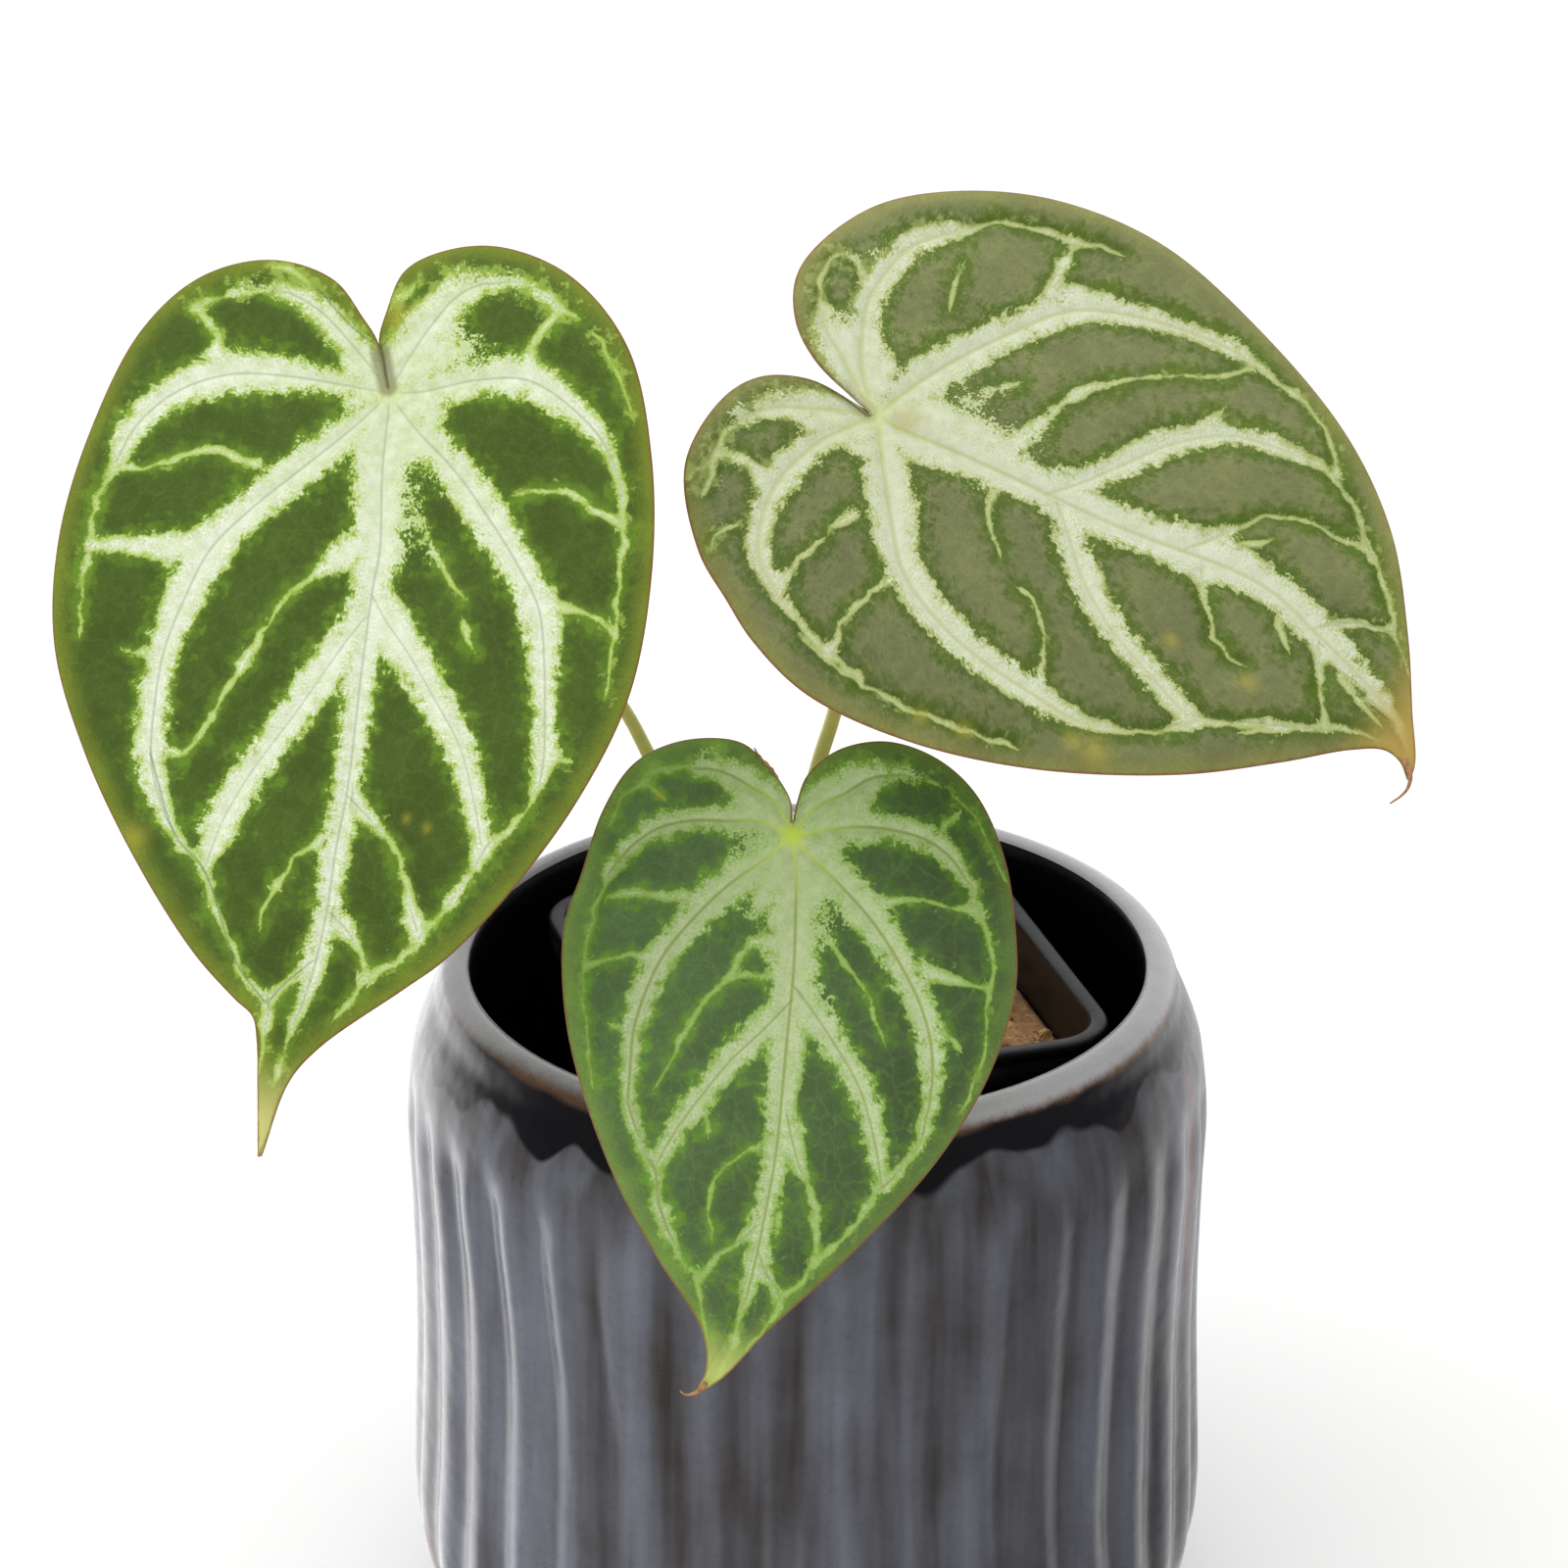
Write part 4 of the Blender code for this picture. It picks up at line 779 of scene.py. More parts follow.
def build_cover_pot(settings):
    """The turned profile r(z), pushed in between the ribs: r = r(z) - depth * share(z) * valley(angle), where
    valley is 1 - |sin| of half the rib count times the angle, rounded, and the angle wanders a little with z."""
    wall, inner = map(smooth_curve, (POT_PROFILE, POT_INSIDE), POT_RINGS)
    angles = round_angles(RIBS * RIB_STEPS)
    z, r = wall[:, :1], wall[:, 1:]
    stray = np.sin(z / 16.0 + 2 * angles) + 0.4 * np.sin(z / 8.0 + 5 * angles + 1.0)
    wave = np.sin(RIBS / 2 * (angles + settings.rib_wobble / POT_RADIUS * stray + math.pi / 2))
    soft = settings.rib_softness
    valley = 1 - (np.sqrt(wave ** 2 + soft ** 2) - soft) / (math.sqrt(1 + soft ** 2) - soft)
    depth = RIB_DEPTH * (1 + 0.22 * np.sin(5 * angles + 0.4) + 0.16 * np.sin(z / 14.0 + 2 * angles))
    share = rise(z, *RIB_START) * (1 - rise(z, *RIB_END))
    outside = turned_grid(z, r - share * depth * valley, angles)
    points, faces = capped(np.concatenate([outside, turned_grid(inner[:, :1], inner[:, 1:], angles)]))
    crest = np.zeros(len(points))
    crest[:valley.size] = (share * (1 - valley)).ravel()
    new_piece("glazed_pot", points, faces, [glaze_material(settings)], {"crest": crest}, slot="glazed_pot",
              replaced=["cover_pot"])


def rounded_square(width, corner, height, steps=14, straight=10):
    """Points round a square with round corners: quarter circles of the corner radius, joined by straight runs."""
    reach = width / 2 - corner
    angle = np.linspace(0, np.pi / 2, steps)
    quarter = np.stack([reach + corner * np.cos(angle), reach + corner * np.sin(angle)], axis=1)
    run = np.linspace(1, -1, straight + 2)[1:-1, None] * [[reach, 0]] + [[0, reach + corner]]
    side = np.vstack([quarter, run])
    flat = np.vstack([side @ spin(k * math.pi / 2) for k in range(4)]) @ spin(NURSERY_TURN)
    return np.column_stack([flat + NURSERY_CENTRE, np.full(len(flat), height)])


def nursery_width(height):
    """The outside width of the tapered wall at a height."""
    share = (height - NURSERY_BOTTOM) / (NURSERY_TOP - NURSERY_BOTTOM)
    return NURSERY_BASE_WIDTH + (WALL_WIDTH - NURSERY_BASE_WIDTH) * share


def nursery_ring(height, inset=0.0):
    return rounded_square(nursery_width(height) - 2 * inset, max(WALL_CORNER - inset, 0.5), height)


def plastic_material(settings):
    """Vacuum-formed black polypropylene: a satin sheen, fine orange peel, and dusty scuffs."""
    made, add = new_material("vacuum formed polypropylene")
    place = add("TexCoord").outputs["Object"]
    dust = add("TexNoise", place, 160.0, 6.0, 0.7)
    dusty = add("MapRange", dust, 0.5, 0.78)
    colour = add("Mix RGBA", dusty, settings.body, settings.scuff)
    rough = add("MapRange", dust, 0.0, 1.0, settings.roughness - 0.08, settings.roughness + 0.22)
    peel = add("TexNoise", place, 900.0, 2.0)
    bump = add("Bump", 0.15, 0.0003, None, peel)
    return finished(made, Base_Color=colour, Roughness=rough, Normal=bump, IOR=1.49, Specular_IOR_Level=0.3)


def build_nursery_pot(settings):
    """A rounded square carried up a profile of (height, inset): foot, tapered wall, skirt of the rolled rim,
    its bead on top, and the wall's inside down to the floor."""
    lip = NURSERY_RIM - NURSERY_WALL
    bottom, top = NURSERY_BOTTOM, NURSERY_TOP
    skirt = top - NURSERY_RIM_HEIGHT
    profile = [(bottom, 1.3), (bottom + 0.35, 0.4), (bottom + 1.3, 0.0)]
    profile += [(h, 0.0) for h in np.linspace(bottom + 8, skirt - 0.4, 14)]
    profile += [(skirt, -0.3), (skirt - 0.1, -lip + 0.25), (skirt + 0.3, -lip), (top - 3.2, -lip),
                (top - 2.7, -lip + 0.45), (top - 2.2, -lip + 0.45), (top - 1.6, -lip), (top - 0.7, -lip),
                (top - 0.2, -lip + 0.3), (top, -lip + 0.8), (top, 0.5), (top - 0.25, 0.85), (top - 0.8, 1.0)]
    profile += [(h, NURSERY_WALL) for h in np.linspace(top - 4, bottom + 3, 14)]
    profile += [(bottom + 1.4, NURSERY_WALL + 0.4), (bottom + 1.0, NURSERY_WALL + 1.3)]
    new_piece("plastic_pot", *capped([nursery_ring(*row) for row in profile]), [plastic_material(settings)],
              slot="black_plastic", replaced=["nursery_pot"])


def bark_material(settings):
    """Composted pine bark: layered along each chip, dark and damp outside, with lighter broken faces."""
    made, add = new_material("composted pine bark")
    place = add("TexCoord").outputs["Object"]
    tone = add("Attribute", attribute_name="tone").outputs["Fac"]
    grain = add("TexNoise", place, 700.0, 5.0, 0.7, None, 1.2)
    broad = add("TexNoise", place, 120.0, 3.0)
    for part, share in ((grain, 0.75), (broad, 0.35)):
        tone = add("Math MULTIPLY_ADD", part, share, tone)
    ramp = add("ValToRGB", tone, stops=[(0.38, settings.soil), (0.62, settings.dark), (1.0, settings.light)])
    bump = add("Bump", 0.8, 0.0006, None, grain)
    return finished(made, Base_Color=ramp, Normal=bump, Roughness=0.9, Specular_IOR_Level=0.25)


def chip_surface(lower, upper, tone, around, noise):
    """A chip between two six-sided faces: rounded sections blend from the lower face to the upper one, swelling
    by a half sine between them, with seeded roughness on every point. Its tone goes with it."""
    def closed(face):
        loop = np.vstack([face, face[:1]])
        straight = [np.interp(np.arange(around) * 6 / around, range(7), column) for column in loop.T]
        smooth = smooth_curve(loop, around + 1)[:-1]
        return CHIP_ROUNDING * smooth + (1 - CHIP_ROUNDING) * np.stack(straight, axis=1)

    low, high = closed(lower), closed(upper)
    centre_low, centre_high = low.mean(axis=0), high.mean(axis=0)
    rows = []
    for level in CHIP_LEVELS:
        middle = centre_low + (centre_high - centre_low) * level
        swell = 0.84 + 0.2 * math.sin(math.pi * min(min(level, 1 - level) * 4 + 0.15, 0.5))
        rows.append(middle + (low + (high - low) * level - middle) * swell)
    rows = np.array(rows + [centre_high + (rows[-1] - centre_high) * share for share in CHIP_TOP])
    rows[1:] += noise.normal(0, MIX_ROUGHNESS, rows[1:].shape)
    points, faces = capped(rows, centre_low)
    return points, faces, np.full(len(points), tone)


def mix_place(x, y, height):
    """A place over the mix, from x and y along the nursery pot's sides."""
    return Vector((*((x, y) @ spin(NURSERY_TURN) + NURSERY_CENTRE), height))


def flake_faces(at, lean, size, draw=None):
    """The lower and upper six-sided face of a chip or crumb; draw shrinks and raises each point of a chip."""
    length, width, thickness = size
    ranges = (CHIP_SHRINK, CHIP_SHRINK, CHIP_RAISE)
    faces = []
    for taper, z in ((1.0, -thickness), (CHIP_TAPER, thickness)):
        face = []
        for share_x, share_y in CHIP_OUTLINE:
            shrink_x, shrink_y, lift = [draw.uniform(*span) for span in ranges] if draw else (1, 1, 0)
            point = Vector((share_x * length * taper * shrink_x, share_y * width * taper * shrink_y, z))
            point.rotate(lean)
            face.append(at + point + Vector((0, 0, lift)))
        faces.append(face)
    return faces


def chip_faces(draw, placed):
    """The faces of one bark chip, drawn as the part's source draws them, or None where it would not lie clear of
    the crown, of the pot's wall and of the chips before it."""
    length, width, thickness = (draw.uniform(*size) / 2 for size in CHIP_SIZES)
    size = 1.1 * math.hypot(length, width)
    half = nursery_width(MIX_TOP) / 2 - NURSERY_WALL - 2 * GAP
    corner = NURSERY_CORNER - NURSERY_RIM - 2 * GAP
    x, y = draw.uniform(size - half, half - size), draw.uniform(size - half, half - size)
    at = mix_place(x, y, MIX_TOP)
    past_corner = math.hypot(max(abs(x) - half + corner, 0), max(abs(y) - half + corner, 0))
    if (past_corner > max(corner - size, 0)
            or (at.xy - Vector(CROWN_AT)).length < CROWN_RADIUS + size + 2 * GAP
            or any((at - other).length < CHIP_SPACING * (size + other_size) for other, other_size in placed)):
        return None
    placed.append((at, size))
    lean_x, lean_y = draw.uniform(-CHIP_LEAN, CHIP_LEAN), draw.uniform(-CHIP_LEAN, CHIP_LEAN)
    return flake_faces(at, Euler((lean_x, lean_y, draw.uniform(0, math.pi))), (length, width, thickness), draw)


def crumb(draw):
    """The faces of a small flake of bark, or None where it would lie against the crown."""
    from_wall, from_crown = CRUMB_CLEARANCE
    half = nursery_width(MIX_TOP) / 2 - NURSERY_WALL - from_wall
    x, y = draw.uniform(-half, half), draw.uniform(-half, half)
    at = mix_place(x, y, MIX_TOP - CRUMB_SINK + draw.uniform(0, CRUMB_RISE))
    if (at.xy - Vector(CROWN_AT)).length < CROWN_RADIUS + from_crown:
        return None
    lean_x, lean_y = draw.uniform(-CRUMB_LEAN, CRUMB_LEAN), draw.uniform(-CRUMB_LEAN, CRUMB_LEAN)
    lean = Euler((lean_x, lean_y, draw.uniform(0, math.pi)))
    return flake_faces(at, lean, [draw.uniform(*size) for size in CRUMB_SIZES])


def joined(surfaces):
    """One set of points, faces and tones from several surfaces."""
    points, quads, triangles, tones, first = [], [], [], [], 0
    for part_points, part_faces, part_tones in surfaces:
        for group in part_faces:
            (quads if group.shape[1] == 4 else triangles).append(group + first)
        points.append(part_points)
        tones.append(part_tones)
        first += len(part_points)
    return np.vstack(points), [np.vstack(quads), np.vstack(triangles)], {"tone": np.concatenate(tones)}


def build_mix(settings):
    """A block that fills the nursery pot, its top rolling by a sum of sines, with bark chips and crumbs on it."""
    noise = np.random.default_rng(CHIP_SEED)
    inset = NURSERY_WALL + GAP
    bottom = NURSERY_BOTTOM + NURSERY_WALL + GAP
    rings = [nursery_ring(bottom, inset + 1.2), nursery_ring(bottom + 1.6, inset)]
    rings += [nursery_ring(h, inset) for h in np.linspace(30, MIX_TOP - MIX_EDGE_DROP, 8)]
    top = nursery_ring(MIX_TOP, inset)
    centre = np.array([*NURSERY_CENTRE, MIX_TOP])
    for share in np.linspace(0.97, 0.04, MIX_RINGS):
        ring = centre + share * (top - centre)
        x, y = ring[:, 0], ring[:, 1]
        ring[:, 2] += MIX_BUMP * 0.5 * (np.sin(x / 3.1 + y / 4.7) + np.sin(y / 2.3 - x / 5.3 + 1.0))
        ring[:, 2] += noise.normal(0, MIX_ROUGHNESS, len(ring)) - MIX_EDGE_DROP * rise(share, 0.75, 1.0)
        rings.append(ring)
    points, faces = capped(rings)
    surfaces = [(points, faces, np.full(len(points), MIX_TONE))]
    draw, tones, placed = random.Random(CHIP_SEED), random.Random(CHIP_SEED + 1), []
    for _ in range(CHIP_TRIES):
        if chip := chip_faces(draw, placed):
            surfaces.append(chip_surface(*chip, tones.uniform(*CHIP_TONES), settings.chip_points, noise))
    for _ in range(settings.crumbs):
        if small := crumb(tones):
            surfaces.append(chip_surface(*small, tones.uniform(*CRUMB_TONES), CRUMB_POINTS, noise))
    points, faces, tone = joined(surfaces)
    new_piece("bark_mix", points, faces, [bark_material(settings)], tone, slot="bark_mix",
              replaced=["potting_mix"])


def stem_material(settings):
    """Corky anthurium stem: green brown, ringed by leaf scars, with dry tan fibre."""
    made, add = new_material("corky stem")
    place = add("TexCoord").outputs["Object"]
    tone = add("Attribute", attribute_name="tone").outputs["Fac"]
    fibre_place = add("Mapping", place, None, None, (1.0, 1.0, 0.15))
    fibre = add("TexNoise", fibre_place, 1500.0, 4.0)
    dry = add("Math MULTIPLY_ADD", fibre, 0.5, tone, use_clamp=True)
    colour = add("Mix RGBA", dry, settings.crown, settings.sheath)
    bump = add("Bump", 0.5, 0.0004, None, fibre)
    return finished(made, Base_Color=colour, Normal=bump, Roughness=0.75)


def sheath_surface(azimuth, around=18, levels=26):
    """A thin pointed scale: its half angle narrows to the tip by the power 0.6, and it leans out by the square
    of its height's share. The outer face runs one way and the inner face back."""
    share = np.linspace(0, 1, levels)[:, None]
    side = np.linspace(-1, 1, around)[None, :]
    angle = math.radians(azimuth) + (math.radians(SHEATH_HALF_ANGLE) * (1 - share) ** 0.6 + 0.05) * side
    height = CROWN_TOP - SCAR_SPACING + share * (SHEATH_HEIGHT + SCAR_SPACING)
    inner = CROWN_RADIUS - SHEATH_INSET + SHEATH_LEAN * share ** 2 + 0.25 * side ** 2 + 0.08 * np.sin(9 * angle)
    outer = inner + 0.45 + 0.2 * (1 - side ** 2)
    outer, inner = (turned_grid(height, r, angle) + [*CROWN_AT, 0] for r in (outer, inner))
    points, faces = capped(np.concatenate([outer, inner[:, ::-1]], axis=1))
    return points, faces, np.full(len(points), SHEATH_TONE)


def build_crown(settings):
    """A turned stem whose radius dips by a cosine at every leaf scar and rounds off at its head, with sheaths."""
    sides, over = CROWN_RINGS
    z = np.concatenate([np.linspace(CROWN_BOTTOM, CROWN_TOP - CROWN_EDGE, sides), CROWN_TOP - CROWN_EDGE
                        * (1 - np.sin(np.linspace(0.15, 1, over) * math.pi / 2))])[:, None]
    angles = round_angles(CROWN_POINTS)
    dip = 0.5 + 0.5 * np.cos(2 * math.pi * (z - CROWN_BOTTOM) / SCAR_SPACING + 0.8 * np.sin(angles + z / 9))
    radius = CROWN_RADIUS - SCAR_DEPTH * dip ** 3 - 0.15 * (1 + np.sin(5 * angles + z))
    radius = CROWN_FOOT_RADIUS + (radius - CROWN_FOOT_RADIUS) * rise(z, CROWN_BOTTOM, CROWN_BOTTOM + 4)
    head = np.clip((z - CROWN_TOP + CROWN_EDGE) / CROWN_EDGE, 0, 1)
    radius = radius - CROWN_EDGE * (1 - np.sqrt(np.clip(1 - head ** 2, 0, 1)))
    points, faces = capped(turned_grid(z, radius, angles) + [*CROWN_AT, 0], last=(*CROWN_AT, CROWN_TOP))
    surfaces = [(points, faces, np.full(len(points), CROWN_TONE))]
    surfaces += [sheath_surface(turn) for turn in SHEATH_AZIMUTHS]
    points, faces, tone = joined(surfaces)
    new_piece("stem_crown", points, faces, [stem_material(settings)], tone, slot="crown_stem",
              replaced=["crown"])


def petiole_material(settings):
    """Living stalk: smooth olive green skin with fine lengthways ribs, browner at the foot."""
    made, add = new_material("petiole skin")
    along = add("Attribute", attribute_name="along").outputs["Fac"]
    mottle = add("TexNoise", add("TexCoord").outputs["Object"], 500.0, 4.0)
    shade = add("Math MULTIPLY_ADD", mottle, 0.35, along)
    factor = add("MapRange", shade, 0.1, 0.9)
    colour = add("Mix RGBA", factor, settings.petiole_foot, settings.petiole)
    bump = add("Bump", 0.2, 0.0003, None, mottle)
    return finished(made, Base_Color=colour, Normal=bump, Roughness=0.42, Sheen_Weight=0.1)


def tube(path, radii, around, flatten=1.0, side=(1.0, 0.2, 0.1)):
    """A round section carried along a path: centre + r (cos a · u + sin a · v), where u and v stay square to the
    path. Its ends are closed. flatten squeezes the section along v."""
    tangent = np.gradient(path, axis=0)
    tangent /= np.linalg.norm(tangent, axis=1)[:, None]
    u = side - tangent * (tangent @ side)[:, None]
    u /= np.linalg.norm(u, axis=1)[:, None]
    v = np.cross(tangent, u)
    angle = round_angles(around)[..., None]
    ring = np.cos(angle) * u[:, None, :] + flatten * np.sin(angle) * v[:, None, :]
    return capped(path[:, None, :] + radii[:, None, None] * ring, path[0], path[-1])


def build_petioles(settings):
    """Each stalk: radius = top + (foot - top)(1 - share)^3, with a smooth swelling at the joint under the blade."""
    finish = petiole_material(settings)
    count, around = PETIOLE_POINTS
    share = np.linspace(0, 1, count)
    swell_start, swell_end, narrow_start, narrow_end = JOINT_SPAN
    joint = JOINT_SWELLING * rise(share, swell_start, swell_end) * (1 - rise(share, narrow_start, narrow_end))
    for side, route in PETIOLE_ROUTES.items():
        base, _, _, normal = blade_frame(BLADES[side])
        foot, top = PETIOLE_FEET[side], PETIOLE_TOP_RADIUS[side]
        path = smooth_curve(np.vstack([(*foot, PETIOLE_FOOT_HEIGHT), (*foot, CROWN_TOP + 0.5), route,
                                       base - normal * 0.6]), count)
        points, faces = tube(path, top + (PETIOLE_BASE_RADIUS - top) * (1 - share) ** 3 + joint, around)
        along = np.concatenate([np.repeat(share, around), [0.0, 1.0]])
        new_piece(f"stalk_{side}", points, faces, [finish], {"along": along}, slot="petiole",
                  replaced=[f"petiole_{side}"])


def blade_frame(blade):
    """The blade's base, and unit vectors across it, along it and out of its upper face."""
    azimuth, elevation = np.radians(blade["facing"])
    normal = np.array([math.sin(azimuth) * math.cos(elevation), -math.cos(azimuth) * math.cos(elevation),
                       math.sin(elevation)])
    base = np.array(blade["base"])
    along = np.array(blade["tip"]) - base
    along = unit(along - normal * (along @ normal))
    return base, np.cross(normal, along), along, normal


def midrib_x(blade, y):
    """The midrib's x at each y, on a smooth curve through its points."""
    return np.interp(y, *smooth_curve(blade["midrib"], 80).T)


def on_blade(blade, flat, length, share=0.0, turn=0.0):
    """Places on a blade's surface for (x, y) points on its plane. It is arched along the midrib, droops to the
    sides and waves at the margin: arch ((m/L)^2 - ((y-m)/L)^2) - droop (x/w)^2 + wave share^3 sin(waves turn +
    start) is how far it stands off the plane, and x is counted from the midrib."""
    base, across, along, _ = blade_frame(blade)
    x, y = flat[:, 0] - midrib_x(blade, flat[:, 1]), flat[:, 1]
    middle = ARCH_MIDDLE * length
    height = blade["arch"] * ((middle / length) ** 2 - ((y - middle) / length) ** 2)
    height -= blade["droop"] * (x / np.abs(blade["left_margin"]).max()) ** 2
    height += blade["wave"] * share ** 3 * np.sin(WAVES * turn + blade["wave_start"])
    return base + flat[:, :1] * across + flat[:, 1:] * along + height[:, None] * unit(np.array(blade["bulge"]))


def to_segments(flat, start, end, widths):
    """For each point, its distance to the nearest of the segments, that segment's width there, the side, and how
    many segments lie before it."""
    step = end - start
    length2 = np.maximum((step ** 2).sum(axis=1), 1e-9)
    from_start = flat[:, None, :] - start[None]
    t = np.clip((from_start * step[None]).sum(axis=2) / length2, 0, 1)
    square = ((from_start - t[..., None] * step[None]) ** 2).sum(axis=2)
    best = square.argmin(axis=1)
    rows = np.arange(len(flat))
    side = step[best, 0] * from_start[rows, best, 1] - step[best, 1] * from_start[rows, best, 0]
    width = widths[best] + (widths[best + 1] - widths[best]) * t[rows, best]
    return np.sqrt(square[rows, best]), width, np.where(side < 0, -1.0, 1.0), best + t[rows, best]


def vein_fields(veins, flat):
    """For each point of a blade: its distance outside the silver bands, the signed distances to the centre lines
    of the main veins, of the branches and of the dark creases, the distance to the nearest such line, and, for the
    nearest band, the way from the base along it, the signed distance from its middle and half its width. Bands melt
    into each other by a soft minimum."""
    columns = {"main": 0, "branch": 1, "dark": 2}
    band = np.full(len(flat), -VEIN_REACH / VEIN_BLEND)
    lines = np.full((len(flat), 3), VEIN_REACH)
    near, gap = np.full((2, len(flat)), VEIN_REACH)
    web = np.zeros((len(flat), 3))
    crinkle = np.random.default_rng(VEIN_SEED)
    for kind, mark, text in ONE_VEIN.findall(veins):
        sign, points = -1 if mark == "-" else 1, table(text)
        start = math.hypot(*points[0][:2])
        length = np.linalg.norm(np.diff(points[:, :2], axis=0), axis=1).sum()
        fine = smooth_curve(points, max(4, int(length / VEIN_STEP)))
        step = length / (len(fine) - 1)
        if kind != "dark":
            thin = 1 - rise(fine[:, 2:], 0.7, 1.8)
            fine[:, :2] += VEIN_CRINKLE * thin * crinkle.normal(0, 1, (len(fine), 2))
            fine[:, 2] *= 1 - thin[:, 0] * (VEIN_SLIMMING + VEIN_BEADS * crinkle.normal(0, 1, len(fine)))
        low, high = fine[:, :2].min(axis=0) - VEIN_REACH, fine[:, :2].max(axis=0) + VEIN_REACH
        found = np.flatnonzero(((flat > low) & (flat < high)).all(axis=1))
        for chunk in np.array_split(found, max(1, len(found) // CHUNK)):
            distance, width, side, along = to_segments(flat[chunk], fine[:-1, :2], fine[1:, :2], fine[:, 2])
            signed = sign * side * distance
            if kind != "dark":
                band[chunk] = np.logaddexp(band[chunk], (width - distance) / VEIN_BLEND)
                closer = distance - width < gap[chunk]
                gap[chunk[closer]] = (distance - width)[closer]
                web[chunk[closer]] = np.column_stack([along * step + start, signed, width])[closer]
            if kind in columns:
                column = columns[kind]
                closer = distance < np.abs(lines[chunk, column])
                lines[chunk[closer], column] = signed[closer]
                near[chunk] = np.minimum(near[chunk], distance)
    return -band * VEIN_BLEND, lines, near, web


def margin_distance(flat, outline):
    """The distance from each point to the blade's outline."""
    return np.concatenate([
        np.sqrt(((chunk[:, None, :] - outline[None]) ** 2).sum(axis=2).min(axis=1))
        for chunk in np.array_split(flat, max(1, len(flat) // CHUNK))])


def leaf_material(settings, side):
    """Velvety anthurium leaf, upper face: dark green cells that drink the light, silver bands of air-filled
    cells along the veins that fray into a lime fringe, and thin sunken vein lines."""
    tone = {key: getattr(settings, f"{side}_{key}") for key in LEAF_TONES}
    look = LEAF_LOOK[side]
    made, add = new_material(f"velvety leaf, {side}")
    (x, y, margin), (plain_band, near, spotted), (main, branch, crease), (along, across, width) = (
        add("SeparateXYZ", add("Attribute", attribute_name=key).outputs["Vector"]).outputs
        for key in ("place", "vein", "lines", "web"))
    speckled, tip = (add("Attribute", attribute_name=key).outputs["Fac"] for key in ("speckled", "tip"))
    flat = add("CombineXYZ", x, y)
    from_base = add("VectorMath LENGTH", flat)
    # The attributes are in millimetres, so a noise's scale is one over the size of its grains in millimetres
    grain = add("TexNoise", flat, 1 / settings.grain, 4.0, 0.7)
    tufts = add("TexNoise", flat, 0.6, 5.0, 0.7)
    waves = add("TexNoise", flat, 0.2, 2.0)
    lobes = add("TexNoise", flat, 0.42, 3.0, 0.6)
    broad = add("TexNoise", flat, 0.1, 4.0, 0.6)
    # Strands that leave a vein sideways and a little towards its end, four times as long as wide
    away = add("Math ABSOLUTE", across)
    slanted = add("Math MULTIPLY_ADD", away, -0.6, along)
    stretched = add("Math MULTIPLY", across, 0.25)
    strand_place = add("CombineXYZ", slanted, stretched)
    strands = add("TexNoise", strand_place, 1 / settings.feather, 3.0, 0.6)
    ragged = add("MapRange", waves, 0.35, 0.65, 0.4, 1.5)
    by_width = add("MapRange", width, 0.2, 2.2, 0.3 * settings.fringe, settings.fringe)
    fray = 0.0
    for noise, size in ((strands, 1.2), (tufts, 4.4), (lobes, 3.2), (grain, 2.3)):
        centred = add("Math SUBTRACT", noise, 0.5)
        fray = add("Math MULTIPLY_ADD", centred, size, fray)
    fray = add("Math MULTIPLY", fray, ragged)
    drift = add("Math MULTIPLY_ADD", broad, 2.2, -1.1)
    fray = add("Math ADD", fray, drift)
    mottled = add("Math MULTIPLY_ADD", grain, 0.8, tufts)
    mottled = add("Math MULTIPLY_ADD", mottled, 11.0, -10.2)
    mottled = add("Math MULTIPLY", mottled, speckled)
    # Beside a band the signed distance from its middle is exact, where the mesh is too coarse for a thin vein
    exact = add("Math SUBTRACT", away, width)
    beside = add("Math ADD", plain_band, width)
    beside = add("MapRange", beside, 1.0, 1.4, 0.0, 9.0)
    exact = add("Math ADD", exact, beside)
    true_band = add("Math MINIMUM", exact, plain_band)
    band = add("Math MULTIPLY_ADD", fray, by_width, true_band)
    band = add("Math ADD", band, mottled)
    # Green between the veins: edge beside the silver, patch further off (greyed by a painted sheen on the right
    # blade), clouded, specked and streaked, and painted lighter on one side than the other as painted light
    depth = add("Math MULTIPLY_ADD", waves, -5.0, -0.5)
    depth = add("Math MULTIPLY_ADD", tufts, 6.0, depth)
    depth = add("Math ADD", band, depth)
    deep = add("MapRange SMOOTHSTEP", depth, *look["deep"])
    green = add("Mix RGBA", deep, tone["edge"], tone["patch"])
    shade = add("MapRange", broad, 0.3, 0.7, 0.84, 1.16)
    # The last factor is painted light: the greens are brighter on one side of the blade
    for source, low, high, dim, bright in ((grain, 0.25, 0.75, 0.8, 1.2), (tufts, 0.3, 0.7, 0.85, 1.15),
                                           (x, -30.0, 30.0, *look["lit"])):
        factor = add("MapRange", source, low, high, dim, bright)
        shade = add("Math MULTIPLY", shade, factor)
    green = add("VectorMath SCALE", green, shade)
    # The network of the finest veins, bent cells of about 4 mm, and the margin zone's lighter green, partly its own
    # colour and partly a painted glow of light shining through the thin edge
    bent = add("VectorMath MULTIPLY_ADD", tufts.outputs["Color"], (2.2, 2.2, 0.0), flat)
    net = add("TexVoronoi", bent, 0.25, feature="DISTANCE_TO_EDGE")
    net = add("MapRange", net, 0.01, 0.05, settings.network * look["network"], 0.0)
    green = add("Mix RGBA", net, green, tone["fringe"])
    edge_zone = add("Math MULTIPLY_ADD", tufts, 5.0, margin)
    edge_zone = add("MapRange SMOOTHSTEP", edge_zone, 2.3, 6.5, look["border"], 0.0)
    outer = add("VectorMath SCALE", tone["margin"][:3], shade)
    green = add("Mix RGBA", edge_zone, green, outer)
